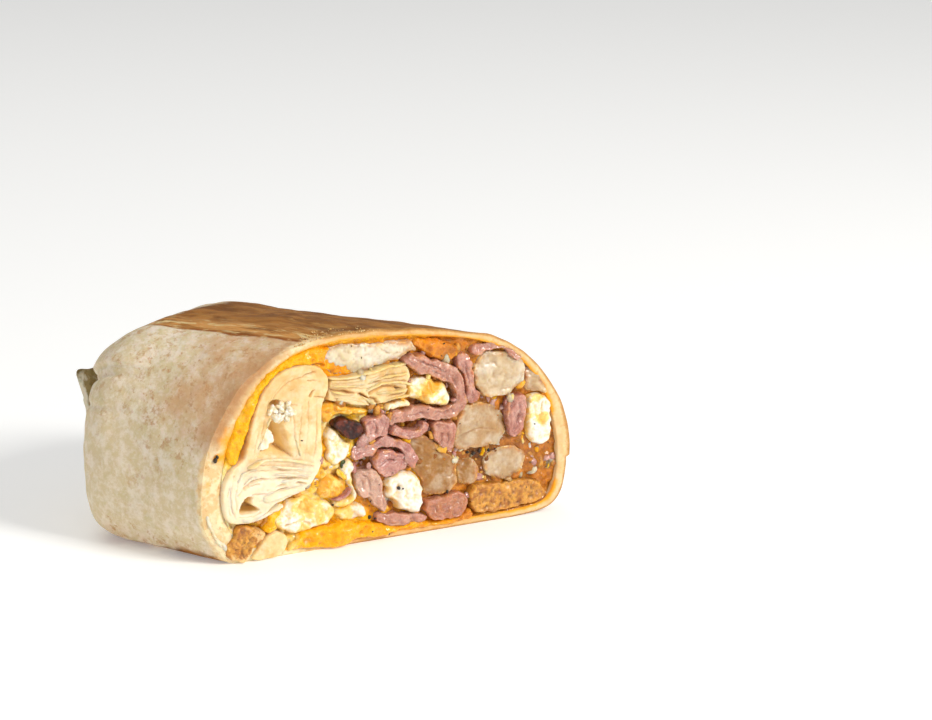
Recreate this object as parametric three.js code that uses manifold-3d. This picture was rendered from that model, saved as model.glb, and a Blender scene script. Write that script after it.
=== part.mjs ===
// Half of a breakfast burrito, cut on the slant and lying on its flat side.
// Units are millimetres. Local frame while modelling: X runs along the cut face, Y runs into
// the food, Z is up, and the cut face lies in the plane Y = 0.
import * as THREE from 'three';
import { mergeVertices } from 'three/addons/utils/BufferGeometryUtils.js';
import Module from 'manifold-3d';

const wasm = await Module();
wasm.setup();

// ---- Driving dimensions ----
const GAP = 0.3;                // clearance between touching pieces
const SLANT = 32.85 * Math.PI / 180;   // angle between the cut and a square cut
const NEAR_LENGTH = 45;         // length of the short side of the half
const LEFT_REACH = 8.5;         // the section bulges this far left of its lower corner
const LOOP_STEPS = 44;          // points round the wrap
const BODY_RINGS = 3;           // rings along the straight stretch
const CAP_RINGS = 5;            // rings over the rounded closed end
const CAP_START = 24;           // where the closed end begins to round, from its tip
const SIDE_ROUND = 17;          // rounding of the closed end seen from above
const SIDE_POWER = 2.4;
const TOP_ROUND = 22;           // rounding of the closed end seen from the side
const TOP_POWER = 2.2;
const MID_HEIGHT = 21;          // height the closed end closes in on
const MID_ACROSS = 38;          // place along the cut the closed end closes in on
const TIP_INSET = 0.25;         // the last ring sits this far from the tip plane
const WALL_THIN = 1.8;          // tortilla wall on the top, bottom and right
const WALL_THICK = 4.5;         // doubled wall on the left of the cut
const THICK_UNTIL = 14;         // the doubled wall has thinned out this far along the cut
const THICK_FADE = 16;          // over this distance
const WALL_END = 3;             // folded layers at the closed end
const EAR_THICK = 1.8;          // dog-ear of tortilla at the closed end
const EAR_ACROSS = 19;          // its place across the burrito
const CORE_RECESS = 0.9;        // the melted filling sits behind the cut plane
const EDGE_ROUND = 0.7;         // rounding of each filling piece at the cut
const LEAST_RISE = 0.1;         // the rounding starts at least this far out of the cut plane
const END_MARGIN = 24;          // long fillings stop this far from the closed end
const CHUNK_DEPTH = 17;         // depth of a diced chunk
const REACH_OUT = 12;           // cutting solids stand this far out of the cut plane
const FOLD_GROOVE = { width: 0.6, depth: 1.6 };       // between the folded layers on the left
const TOP_GROOVE = { width: 0.8, depth: 2.5 };        // between those under the top

const AXIS = new THREE.Vector3(-Math.sin(SLANT), Math.cos(SLANT), 0);
const ACROSS = new THREE.Vector3(Math.cos(SLANT), Math.sin(SLANT), 0);

// Outline of the wrap at the cut, anticlockwise from the lower left corner: [along, up].
const CUT_SECTION = [[-1, 0], [-6, 6], [-8.5, 15], [-7.2, 26], [-2.2, 36.5], [6.5, 45.5], [19, 50.3],
  [34, 51], [50, 49.6], [65, 46.5], [77, 39.5], [84.5, 28], [87, 14], [84, 2.5], [72, 0], [46, 0], [20, 0]];
// The same outline near the closed end.
const END_SECTION = [[0, 0.5], [-5.4, 5.5], [-6.8, 15.5], [-5.6, 26.5], [-2.4, 36], [4, 43.6], [14, 48.4],
  [30, 50.2], [48, 49.4], [62, 46], [74, 39.5], [82, 28], [84, 15], [80, 4], [68, 0], [46, 0], [22, 0]];

const palette = {
  tortilla: { color: 0xd9c7a0, roughness: 0.85 },
  layers: { color: 0xf1e2bf, roughness: 0.8 },
  cheese: { color: 0xf2b13c, roughness: 0.45 },
  potato: { color: 0xe6d7b4, roughness: 0.6 },
  ham: { color: 0xc58f86, roughness: 0.5 },
  egg: { color: 0xfbf3dc, roughness: 0.5 },
  yolk: { color: 0xf6dc7a, roughness: 0.5 },
  browned: { color: 0xb4702a, roughness: 0.75 },
  charred: { color: 0x3c2018, roughness: 0.7 },
};

// ---- Curves and solids ----
function closedCurve(points, count) {
  const curve = new THREE.CatmullRomCurve3(
    points.map(([along, up]) => new THREE.Vector3(along, 0, up)), true, 'catmullrom', 0.5);
  const samples = [];
  for (let i = 0; i < count; i += 1) {
    const p = curve.getPoint(i / count);
    samples.push(new THREE.Vector2(p.x, p.z));
  }
  return samples;
}

function loopArea(loop) {
  return THREE.ShapeUtils.area(loop);
}

function loopLength(loop) {
  return loop.reduce((sum, point, i) => sum + point.distanceTo(loop[(i + 1) % loop.length]), 0);
}

// Moves each point of a loop inwards along the normal of its corner.
function insetLoop(loop, amountAt) {
  const turn = loopArea(loop) > 0 ? 1 : -1;
  return loop.map((point, i) => {
    const before = loop[(i + loop.length - 1) % loop.length];
    const after = loop[(i + 1) % loop.length];
    const along = after.clone().sub(before).normalize();
    const inward = new THREE.Vector2(-along.y, along.x).multiplyScalar(turn);
    return point.clone().addScaledVector(inward, amountAt(point));
  });
}

// A band of even width along an open curve, with rounded ends.
function band(points, width, steps = 10) {
  const curve = new THREE.CatmullRomCurve3(
    points.map(([along, up]) => new THREE.Vector3(along, 0, up)), false, 'catmullrom', 0.5);
  const left = [];
  const right = [];
  for (let i = 0; i <= steps; i += 1) {
    const p = curve.getPoint(i / steps);
    const t = curve.getTangent(i / steps);
    const endTaper = i === 0 || i === steps ? 0.55 : 1;
    const half = width * 0.5 * endTaper;
    left.push(new THREE.Vector2(p.x - t.z * half, p.z + t.x * half));
    right.unshift(new THREE.Vector2(p.x + t.z * half, p.z - t.x * half));
  }
  return [...left, ...right];
}

function toSolid(geometry) {
  const bare = new THREE.BufferGeometry();
  bare.setAttribute('position', geometry.getAttribute('position'));
  bare.setIndex(geometry.getIndex());
  const merged = mergeVertices(bare, 1e-4);
  return new wasm.Manifold(new wasm.Mesh({
    numProp: 3,
    vertProperties: new Float32Array(merged.getAttribute('position').array),
    triVerts: new Uint32Array(merged.getIndex().array),
  }));
}

function toGeometry(solid) {
  const mesh = solid.getMesh();
  const geometry = new THREE.BufferGeometry();
  geometry.setAttribute('position', new THREE.BufferAttribute(mesh.vertProperties, 3));
  geometry.setIndex(new THREE.BufferAttribute(mesh.triVerts, 1));
  geometry.computeVertexNormals();
  return geometry;
}

// Closed solid through rings of equal length. capLoop is the flat outline that both ends are
// filled to; without it each end is filled from its own middle.
function loft(rings, capLoop = null) {
  const count = rings[0].length;
  const last = (rings.length - 1) * count;
  const points = rings.flat();
  const faces = [];
  const clockwise = loopArea(rings[0].map((p) => new THREE.Vector2(p.x, p.z))) < 0;
  const push = (a, b, c) => faces.push(...(clockwise ? [a, b, c] : [a, c, b]));
  for (let r = 0; r < rings.length - 1; r += 1) {
    for (let i = 0; i < count; i += 1) {
      const a = r * count + i;
      const b = r * count + (i + 1) % count;
      push(a, b, b + count);
      push(a, b + count, a + count);
    }
  }
  if (capLoop) {
    for (const [a, b, c] of THREE.ShapeUtils.triangulateShape(capLoop, [])) {
      faces.push(a, b, c, last + a, last + c, last + b);
    }
  } else {
    for (const [start, turn] of [[0, -1], [last, 1]]) {
      const ring = points.slice(start, start + count);
      const middle = ring.reduce((sum, p) => sum.add(p), new THREE.Vector3()).divideScalar(count);
      const hub = points.push(middle) - 1;
      for (let i = 0; i < count; i += 1) {
        const a = start + i;
        const b = start + (i + 1) % count;
        push(hub, ...(turn > 0 ? [a, b] : [b, a]));
      }
    }
  }
  return new THREE.BufferGeometry().setFromPoints(points).setIndex(faces);
}

function largest(solid) {
  return solid.decompose().sort((a, b) => b.volume() - a.volume())[0];
}

// ---- The wrap ----
// Length of the half, along the burrito, from a place on the cut to the closed end.
function lengthAt(along) {
  return NEAR_LENGTH + (along + LEFT_REACH) * Math.sin(SLANT);
}

function closing(distance, radius, power) {
  if (distance >= radius) {
    return 1;
  }
  return Math.max(0, 1 - Math.abs(1 - distance / radius) ** power) ** (1 / power);
}

function wallAt(point) {
  const thick = THREE.MathUtils.clamp((THICK_UNTIL - point.x) / THICK_FADE, 0, 1);
  return WALL_THIN + (WALL_THICK - WALL_THIN) * thick;
}

// Surface of the rolled burrito, moved inwards by the wall when inner is true, plus a margin.
// With reachOut the solid also carries on out of the cut plane, to cut or to trim other solids.
function rollSolid({ inner, margin, reachOut }) {
  const amountAt = (point) => (inner ? wallAt(point) : 0) + margin;
  const endInset = (inner ? WALL_END : 0) + margin;
  const cut = insetLoop(closedCurve(CUT_SECTION, LOOP_STEPS), amountAt);
  const end = insetLoop(closedCurve(END_SECTION, LOOP_STEPS), amountAt);
  const centre = MID_ACROSS * Math.cos(SLANT);
  const ring = (blend, distanceAt) => cut.map((cutPoint, i) => {
    const section = cutPoint.clone().lerp(end[i], blend);
    const distance = distanceAt(section.x);
    const run = lengthAt(section.x) - distance;
    const keepAcross = closing(distance - endInset, SIDE_ROUND - endInset, SIDE_POWER);
    const keepHeight = closing(distance - endInset, TOP_ROUND - endInset, TOP_POWER);
    const p = new THREE.Vector3(section.x, 0, 0).addScaledVector(AXIS, run);
    p.addScaledVector(ACROSS, (centre - p.dot(ACROSS)) * (1 - keepAcross));
    p.z = Math.max(MID_HEIGHT + (section.y - MID_HEIGHT) * keepHeight, inner ? WALL_THIN + margin : 0);
    return p;
  });
  const rings = [];
  for (let k = 0; k < BODY_RINGS; k += 1) {
    const f = k / BODY_RINGS;
    const blend = f * f * (3 - 2 * f);
    rings.push(ring(blend, (along) => THREE.MathUtils.lerp(lengthAt(along), CAP_START, f)));
  }
  if (reachOut) {
    rings.unshift(rings[0].map((p) => new THREE.Vector3(p.x, -REACH_OUT, p.z)));
  }
  for (let k = 0; k <= CAP_RINGS; k += 1) {
    const left = 1 - Math.sin(k / CAP_RINGS * Math.PI / 2);
    const tip = endInset + TIP_INSET;
    rings.push(ring(1, () => tip + (CAP_START - tip) * left));
  }
  return toSolid(loft(rings));
}

// Corner of the tortilla that sticks out of the closed end like a dog-ear. Its outline is
// drawn as [past the closed end, up] and stands upright, in line with the burrito.
function cornerEar() {
  const outline = [[-9, 16], [3, 17.5], [6.6, 21.5], [9, 27.5], [11, 32.2], [2, 35.4], [-9, 36.4]];
  const shape = new THREE.Shape(outline.map(([past, up]) => new THREE.Vector2(past, up)));
  const ear = new THREE.ExtrudeGeometry(shape, { depth: EAR_THICK, bevelEnabled: false });
  ear.applyMatrix4(new THREE.Matrix4().makeBasis(AXIS, new THREE.Vector3(0, 0, 1), ACROSS));
  const root = AXIS.clone().multiplyScalar(lengthAt(0)).addScaledVector(ACROSS, EAR_ACROSS);
  ear.translate(root.x, root.y, 0);
  return toSolid(indexed(ear));
}

function indexed(geometry) {
  geometry.deleteAttribute('normal');
  geometry.deleteAttribute('uv');
  return mergeVertices(geometry, 1e-4);
}

// ---- Filling pieces ----
// Places an outline forward of the cut plane, or back along the burrito.
function outlineAt(outline, forward, back) {
  return outline.map(({ x, y }) => new THREE.Vector3(x, -forward, y).addScaledVector(AXIS, back));
}

// A piece has the outline it shows at the cut and runs back along the burrito.
// rise is how far it stands out of the cut plane; depth is how far back it reaches.
function pieceSolid(outline, rise, depth) {
  const edge = Math.min(EDGE_ROUND, 0.6 * Math.abs(loopArea(outline)) / loopLength(outline));
  const narrow = insetLoop(outline, () => edge);
  const rings = [
    outlineAt(narrow, rise, 0),
    outlineAt(outline, Math.max(rise - edge, LEAST_RISE), 0),
    outlineAt(outline, 0, 0),
    outlineAt(narrow, 0, depth),
  ];
  return toSolid(loft(rings, outline));
}

// The space an outline takes up, with a clearance all round. It is open towards the front.
function spaceSolid(outline, depth, clearance) {
  const wide = insetLoop(outline, () => -clearance);
  const rings = [outlineAt(wide, REACH_OUT, 0), outlineAt(wide, 0, 0), outlineAt(wide, 0, depth + clearance)];
  return toSolid(loft(rings, wide));
}

function longReach(outline) {
  const mean = outline.reduce((sum, p) => sum + p.x, 0) / outline.length;
  return lengthAt(mean) - END_MARGIN;
}

const blob = (points, count = 20) => closedCurve(points, count);

// Every piece seen at the cut: name, kind, outline, rise and depth. An earlier piece keeps an
// edge that it shares with a later one.
function fillings() {
  const list = [];
  const add = (name, kind, outline, rise, depth = longReach(outline)) =>
    list.push({ name, kind, outline, rise, depth });

  add('egg_white_center', 'egg', blob([[38.2, 14.2], [40.2, 15.2], [42, 16.3], [44, 15.6], [45.6, 13.6],
    [46.8, 10.8], [46.6, 7.4], [44.2, 5.9], [41.6, 6.6], [40, 8.6], [37.2, 10.4], [38.2, 12.4]], 22), 2.6);
  add('ham_lobe', 'ham', blob([[34.6, 19.8], [35.6, 21.4], [38, 21.7], [41, 20.7], [43, 18.6], [42.4, 17.1],
    [40.4, 16.3], [38.6, 15.4], [36.4, 16.6], [35, 18]]), 2.2);
  add('ham_arch', 'ham', band([[29.4, 22], [32.3, 22.3], [35, 23.4], [37.6, 24], [40.4, 22.9], [42.8, 20.8],
    [43.9, 18]], 2.6), 1.8);
  add('ham_left_lobe', 'ham', blob([[31.6, 27.4], [32, 29.9], [34.5, 30.5], [37.3, 29.7], [38.2, 28],
    [37.7, 26], [35.6, 25.6], [34.2, 24.6], [32.6, 24.9]], 18), 3);
  add('ham_curl_right', 'ham', band([[43.2, 43.4], [46.5, 41.7], [50, 40], [53.5, 38.2], [56, 35.6], [57, 32.4],
    [56.6, 29.8], [54.2, 28.3], [51, 28.6], [47, 29.7], [43, 29.5], [39.2, 29.5]], 2.4, 18), 2.4);
  add('ham_loop', 'ham', band([[39.2, 26.9], [41.4, 25.6], [44.6, 24.8], [47.2, 25.1], [47.8, 27]], 2.1), 2);
  add('ham_right', 'ham', blob([[50, 26.4], [52, 26.2], [55, 25.6], [55.8, 22.6], [55, 20.2], [53.4, 20],
    [51.4, 21.4], [50.3, 23.6]], 18), 1.4);
  add('ham_small', 'ham', blob([[30, 17.2], [33.6, 17.6], [35.4, 15.6], [35.6, 13], [36.8, 10.5], [37.5, 8],
    [36.5, 7], [34.9, 9.4], [33.8, 11.7], [31.6, 11.8], [30.4, 13.2], [29.5, 15.5]], 22), 1.6);
  add('ham_bottom', 'ham', blob([[47.7, 7.8], [51, 8.1], [56, 7.8], [58.8, 6.6], [58, 4.4], [56.4, 3],
    [52.4, 3], [49.8, 4.2], [47.8, 5.6]], 18), 2.2);
  add('ham_strip_low', 'ham', band([[35.6, 5.9], [38, 4.8], [41, 4.4], [44, 4.1], [47, 3.7]], 1.5, 7), 1.5);
  add('egg_upper_right', 'egg', blob([[44, 37.1], [47.6, 37.4], [50.5, 36.3], [53, 35.6], [54.2, 33.4],
    [53.4, 30.9], [50.3, 30.8], [47.8, 32.1], [44.8, 33.3], [43.4, 35]], 20), 2.2);
  add('egg_white_small', 'egg', blob([[37.8, 31.3], [38.6, 32.9], [41, 33.2], [43.4, 32.7], [43.6, 31.5],
    [41, 31.1]], 12), 1.5);
  add('egg_left', 'egg', blob([[21.7, 27.2], [23.4, 28.4], [25.4, 26.6], [27.5, 24.6], [27.3, 22.2],
    [25.4, 20.8], [24, 21.4], [22.7, 24]], 16), 1.8);
  add('egg_strand', 'egg', band([[27.3, 19.6], [28.2, 17.4], [28.3, 14.6], [29.1, 12], [27.4, 10.7],
    [24.6, 10.6]], 1.5, 9), 1.6);
  add('egg_lobe_low', 'egg', blob([[24.8, 8.2], [27, 8.8], [30, 8.6], [31.8, 7.9], [30, 7.1],
    [27, 7.1]], 12), 1.6);
  add('egg_yolk_top', 'yolk', blob([[20.9, 31.4], [20.9, 34.5], [24, 34.6], [28, 33.4], [32.8, 32.3],
    [33.2, 31.2], [30.4, 31.6], [27, 32], [23.6, 31.3]], 18), 1.2);
  add('egg_yolk_low', 'yolk', blob([[20.8, 12.6], [21, 15], [22.4, 17], [25.2, 16.7], [27.2, 14.4],
    [26.8, 12.5], [25, 12], [22.6, 12]], 16), 1.6);
  add('egg_bottom', 'egg', blob([[9.2, 9.2], [11, 10.2], [13, 12.4], [16.5, 13.1], [18.5, 11.7], [22, 11.1],
    [23.4, 9.2], [22, 7.2], [19, 6.6], [16, 6], [12.8, 5.9], [10.4, 7]], 22), 1.6);
  add('char_piece', 'charred', blob([[24, 30.4], [26.4, 30.9], [28.8, 29.6], [31, 28.9], [30.9, 27.3],
    [28.2, 26.4], [25.6, 28.2]], 14), 2.6, CHUNK_DEPTH * 0.5);
  add('crust_corner', 'browned', blob([[-3, 3.4], [-2.4, 5.6], [-0.8, 7.8], [1.8, 8.6], [4.4, 7.4],
    [5.7, 5.8], [4.2, 4], [2.4, 2.2], [-0.4, 2]], 18), 1.6);
  add('tortilla_corner', 'layers', blob([[3, 2.2], [4.8, 3.8], [7, 5.2], [9.6, 5.6], [11.2, 4.5], [11.4, 2.2],
    [8, 1.8], [4.8, 1.8]], 16), 1.2);
  add('potato_top', 'potato', blob([[22.6, 47], [23, 44.5], [25, 42.1], [28, 41], [31.5, 41.4], [35, 43],
    [39, 43.4], [42, 44.2], [45.4, 45], [43.6, 46.8], [36, 47], [31, 47.8], [26, 48.4]], 22), 0.8);
  add('potato_center', 'potato', blob([[43.9, 21.6], [44.6, 23.2], [47.4, 23.8], [50, 22], [52.4, 19.6],
    [54.6, 17.4], [55.9, 14.4], [55.7, 11.8], [54, 9.3], [50.6, 8.7], [47.9, 9.4], [47.4, 12.4],
    [45.8, 15.6], [44.4, 17.8]], 24), 1, CHUNK_DEPTH);
  add('potato_right_upper', 'potato', blob([[57.4, 27.4], [56.8, 23.6], [56.2, 20], [59, 18.8], [64, 18.4],
    [68.5, 19], [69.4, 23], [67.6, 27.4], [63, 29.2], [59.4, 29.2]], 18), 0.6, CHUNK_DEPTH);
  add('potato_right_lower', 'potato', blob([[64.6, 15.6], [65.2, 11.8], [69.6, 10.6], [73.4, 11.7],
    [74.4, 15], [72, 17.3], [67.6, 17.1]], 14), 0.6, CHUNK_DEPTH);
  add('potato_low', 'potato', blob([[57, 15.2], [57.6, 11.3], [60.5, 10.7], [61.6, 13.4], [60.2, 15.6]], 12),
    0.6, CHUNK_DEPTH * 0.7);
  add('potato_far', 'potato', blob([[62.6, 33.4], [61.8, 38.2], [65, 41.6], [71, 41.8], [74.2, 38.8],
    [73.6, 34.2], [70, 31.6], [65.6, 31.4]], 16), 1, CHUNK_DEPTH);
  add('potato_far_low', 'potato', blob([[75.6, 31.8], [75.9, 37], [78.4, 35.6], [80.6, 31.6],
    [80.2, 30]], 12), 0.8, CHUNK_DEPTH);
  add('hash_brown', 'browned', blob([[60.4, 8.4], [63.5, 9.2], [68, 8.6], [73, 8.8], [78.2, 7.6],
    [79.8, 4.8], [76, 2.9], [69, 2.5], [63, 2.8], [60.2, 5]], 18), 1, CHUNK_DEPTH);
  add('ham_far', 'ham', band([[57.4, 41.6], [59.2, 38.4], [59.6, 34.6], [61, 31.4]], 2, 7), 1.4);
  add('ham_far_top', 'ham', band([[61.4, 43], [65, 43.2], [69.4, 42.4], [72.8, 39.8]], 1.4, 7), 1.2);
  add('ham_far_low', 'ham', blob([[71.4, 21], [74, 23.4], [74.6, 28], [72.8, 29.8], [71, 27.6],
    [70.6, 24]], 14), 1.4);
  add('egg_far', 'egg', blob([[76.7, 20.4], [75.9, 25.6], [77.2, 29.6], [80, 28.8], [81.4, 24], [81, 18.8],
    [79, 17.8]], 14), 1.2);
  add('tortilla_fold_top', 'layers', blob([[22.9, 38.6], [24.5, 40], [28, 39.7], [32, 40.2], [36, 41.6],
    [40, 41.8], [42.8, 41], [43.4, 38.8], [42, 37.2], [42.6, 35.4], [40.5, 34.1], [36, 33.5], [31, 34.4],
    [26, 35.4], [22.6, 35.9]], 24), 1);
  add('tortilla_fold_left', 'layers', blob([[-1.5, 9.6], [3, 9.4], [6, 10.9], [9, 13.2], [13, 14], [17, 16.2],
    [20, 20.2], [20.4, 27], [20.6, 34], [22.2, 38.6], [21.8, 42.4], [18.6, 44.2], [13, 44.2], [8.6, 41.9],
    [5.6, 37.8], [3.6, 32.5], [2.2, 27.5], [0.6, 24.8], [-2.4, 23.6], [-4.5, 20], [-4.8, 15.5],
    [-3.8, 11.5]], 40), 1.6);
  return list;
}

// Hollows between the folded layers, and the grooves that part them: [outline, depth].
function foldHollows() {
  const pocket = blob([[1.8, 24.3], [4, 29], [6.8, 32], [9.2, 28], [12.4, 23.6], [8, 24.1]], 14);
  const cavity = blob([[0.4, 12.8], [0.4, 15.2], [3, 15.4], [3.6, 13.4], [2.4, 12.4]], 10);
  const slit = blob([[8.6, 36.6], [9.4, 37.8], [10.2, 37.4], [9.6, 36.4]], 8);
  const grooves = [
    [[1, 18.2], [4, 19.2], [8, 18.8], [13, 19]],
    [[6, 16.9], [9, 17.3], [13, 17.4]],
    [[1, 21.2], [7, 21.2], [15, 20.6]],
    [[11, 37], [14.6, 36], [16, 31], [16.2, 25]],
    [[10, 40], [14, 41], [19, 41]],
  ].map((points) => [band(points, FOLD_GROOVE.width, 5), FOLD_GROOVE.depth]);
  return [[pocket, 11], [cavity, 8], [slit, 5], ...grooves];
}

function topFoldGrooves() {
  return [
    [[23.5, 38], [28, 36.9], [31.5, 36.4], [33, 34.8]],
    [[34, 37.2], [37.5, 37.3], [41, 36.6]],
    [[26, 39], [32, 38.7], [40, 39.4]],
  ].map((points) => [band(points, TOP_GROOVE.width, 5), TOP_GROOVE.depth]);
}

function carve(solid, hollows) {
  return hollows.reduce((left, [outline, depth]) =>
    largest(left.subtract(spaceSolid(outline, depth, 0))), solid);
}

// Dark gaps where the melted filling does not reach between the meat: [outline, depth].
function fillingGaps() {
  return [
    [blob([[41.8, 27.4], [42, 26.7], [44.6, 26.3], [45.4, 27], [45, 27.6]], 8), 7],
    [blob([[30.4, 19.6], [31, 18.6], [33.6, 18.2], [34, 19.4], [32.4, 20]], 8), 7],
    [blob([[48.6, 27], [48.9, 24.4], [49.6, 24], [49.8, 26]], 8), 7],
    [blob([[37.2, 9.6], [39.4, 7.6], [40, 7.8], [38.6, 9.2]], 8), 5],
    [blob([[44, 42.2], [45.6, 41], [44.2, 41.2], [42.8, 42.6]], 8), 5],
  ];
}

// Melted cheese that has run over the lower lip of the cut in soft lumps:
// [along, up, how far it stands out, half width, half height].
function cheeseDrip() {
  const lumps = [[14.6, 3.2, 1.5, 4, 1.9], [19.5, 3, 2.2, 4.3, 2], [25, 2.7, 3.4, 4.5, 2.2],
    [31, 3.2, 2, 4.3, 2], [38, 3, 1.8, 4.3, 2]];
  return lumps.map(([along, up, forward, halfWidth, halfHeight]) => {
    const lump = new THREE.SphereGeometry(1, 10, 7);
    lump.scale(halfWidth, forward, halfHeight);
    lump.translate(along, 0.2, up);
    return toSolid(indexed(lump));
  }).reduce((a, b) => a.add(b));
}

// ---- Assembly ----
function material(kind) {
  return new THREE.MeshStandardMaterial({ ...palette[kind], metalness: 0 });
}

function named(name, kind, solid) {
  const mesh = new THREE.Mesh(toGeometry(solid), material(kind));
  mesh.name = name;
  return mesh;
}

function buildBurrito() {
  const burrito = new THREE.Group();
  const hollow = rollSolid({ inner: true, margin: 0, reachOut: true });
  const room = rollSolid({ inner: true, margin: GAP, reachOut: true });
  const wrap = rollSolid({ inner: false, margin: 0, reachOut: false }).add(cornerEar()).subtract(hollow);
  burrito.add(named('tortilla_wrap', 'tortilla', largest(wrap)));

  let core = room.trimByPlane([0, 1, 0], CORE_RECESS).add(cheeseDrip().intersect(room));
  let taken = null;
  for (const { name, kind, outline, rise, depth } of fillings()) {
    let piece = pieceSolid(outline, rise, depth).intersect(room);
    if (taken) {
      piece = piece.subtract(taken);
    }
    if (name === 'tortilla_fold_left') {
      piece = carve(piece, foldHollows());
    }
    if (name === 'tortilla_fold_top') {
      piece = carve(piece, topFoldGrooves());
    }
    burrito.add(named(name, kind, largest(piece)));
    const space = spaceSolid(outline, depth, GAP);
    core = core.subtract(space);
    taken = taken ? taken.add(space) : space;
  }
  for (const [outline, depth] of fillingGaps()) {
    core = core.subtract(spaceSolid(outline, depth, 0));
  }
  burrito.add(named('melted_cheese', 'cheese', largest(core)));
  return burrito;
}

const burrito = buildBurrito();
const box = new THREE.Box3().setFromObject(burrito);
const centre = box.getCenter(new THREE.Vector3());
burrito.position.set(-centre.x, -centre.y, -box.min.z);

export default burrito;
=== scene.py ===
import math

import bpy
import numpy as np
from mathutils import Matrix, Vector, geometry


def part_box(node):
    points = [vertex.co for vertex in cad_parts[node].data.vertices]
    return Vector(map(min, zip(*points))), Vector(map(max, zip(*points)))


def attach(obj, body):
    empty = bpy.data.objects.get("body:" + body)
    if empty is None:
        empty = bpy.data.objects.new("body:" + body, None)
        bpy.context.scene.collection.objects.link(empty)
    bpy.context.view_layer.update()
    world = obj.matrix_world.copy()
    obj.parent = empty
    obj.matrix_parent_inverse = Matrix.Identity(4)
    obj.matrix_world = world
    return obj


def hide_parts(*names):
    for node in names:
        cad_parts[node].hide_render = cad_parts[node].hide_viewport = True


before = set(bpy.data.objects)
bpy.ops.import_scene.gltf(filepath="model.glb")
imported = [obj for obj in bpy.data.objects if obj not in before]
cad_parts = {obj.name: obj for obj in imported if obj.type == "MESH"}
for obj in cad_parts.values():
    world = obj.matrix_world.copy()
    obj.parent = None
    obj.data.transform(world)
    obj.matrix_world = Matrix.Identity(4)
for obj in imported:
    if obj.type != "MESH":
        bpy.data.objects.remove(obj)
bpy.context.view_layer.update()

# Everything below is shaped in millimetres, with x along the cut face, y into the food and z up.
# The cut lies in the plane y = 0, and toFrame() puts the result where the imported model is.
burrito = {
    "slantDegrees": 32.85,
    "nearLength": 45, "leftReach": 8.5,       # length of the short side, and where it is measured
    "capStart": 24, "sideRound": 17, "sidePower": 2.4, "topRound": 22, "topPower": 2.2,
    "midHeight": 21, "midAcross": 38, "tipInset": 0.25,
    "wallThin": 1.8, "wallThick": 4.5, "wallEnd": 3,
    "rightReach": 87,                         # x of the far right of the cut
}
cutSection = [(-1, 0), (-6, 6), (-8.5, 15), (-7.2, 26), (-2.2, 36.5), (6.5, 45.5), (19, 50.3),
              (34, 51), (50, 49.6), (65, 46.5), (77, 39.5), (84.5, 28), (87, 14), (84, 2.5),
              (72, 0), (46, 0), (20, 0)]
endSection = [(0, 0.5), (-5.4, 5.5), (-6.8, 15.5), (-5.6, 26.5), (-2.4, 36), (4, 43.6), (14, 48.4),
              (30, 50.2), (48, 49.4), (62, 46), (74, 39.5), (82, 28), (84, 15), (80, 4),
              (68, 0), (46, 0), (22, 0)]

slant = math.radians(burrito["slantDegrees"])
axis = np.array([-math.sin(slant), math.cos(slant), 0.0])      # runs back along the burrito
across = np.array([math.cos(slant), math.sin(slant), 0.0])
wrapLow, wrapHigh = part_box("tortilla_wrap")
origin = np.array([wrapHigh.x * 1000 - burrito["rightReach"], wrapLow.y * 1000, 0.0])


def toFrame(points):
    return (np.asarray(points, float) + origin) / 1000


# Numbers and curves
def smooth(value, low, high):
    t = np.clip((value - low) / (high - low), 0, 1)
    return t * t * (3 - 2 * t)


def bell(value, width):
    return np.exp(-(value / width) ** 2)


def spotAt(points, x, z, size):
    # Strength of a soft round spot, at points [x, z] or [x, y, z].
    return np.exp(-((points[:, 0] - x) ** 2 + (points[:, -1] - z) ** 2) / size ** 2)


def hashed(cell, seed):
    n = cell[:, 0] * 73856093 ^ cell[:, 1] * 19349663 ^ cell[:, 2] * 83492791 ^ (seed * 2654435 + 977)
    n = (n ^ (n >> 13)) * 1274126177 & 0x7FFFFFFF
    return (n ^ (n >> 16)) % 65536 / 32767.5 - 1


def noise(points, size, seed):
    # Smooth noise from -1 to 1 with lumps of the given size.
    place = points / size + 31.7
    cell = np.floor(place).astype(np.int64)
    f = place - cell
    f = f * f * (3 - 2 * f)
    total = np.zeros(len(points))
    for corner in np.ndindex(2, 2, 2):
        weight = np.prod(np.where(corner, f, 1 - f), axis=1)
        total += weight * hashed(cell + corner, seed)
    return total


def lumps(points, layers, seed):
    return sum(height * noise(points, size, seed + i) for i, (size, height) in enumerate(layers))


def catmull(points, t, closed):
    p = np.asarray(points, float)
    last = len(p) - 1
    i = np.minimum(t.astype(int), last if closed else last - 1)
    f = (t - i)[:, None]
    if closed:
        a, b, c, d = p[i - 1], p[i], p[(i + 1) % len(p)], p[(i + 2) % len(p)]
    else:
        a, b, c, d = p[np.maximum(i - 1, 0)], p[i], p[i + 1], p[np.minimum(i + 2, last)]
    return 0.5 * (2 * b + (c - a) * f + (2 * a - 5 * b + 4 * c - d) * f ** 2
                  + (3 * b - a - 3 * c + d) * f ** 3)


def evenTimes(points, spacing, closed):
    # Curve times that give points at an even spacing.
    reach = len(points) if closed else len(points) - 1
    t = np.linspace(0, reach, reach * 40 + 1)
    fine = catmull(points, np.minimum(t, reach - 1e-9), closed)
    length = np.concatenate([[0], np.cumsum(np.linalg.norm(np.diff(fine, axis=0), axis=1))])
    count = max(int(length[-1] / spacing), 8)
    even = np.linspace(0, length[-1], count, endpoint=False) if closed else np.linspace(0, length[-1], count)
    return np.minimum(np.interp(even, length, t), reach - 1e-9)


def curveThrough(points, spacing, closed=True):
    return catmull(points, evenTimes(points, spacing, closed), closed)


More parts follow.
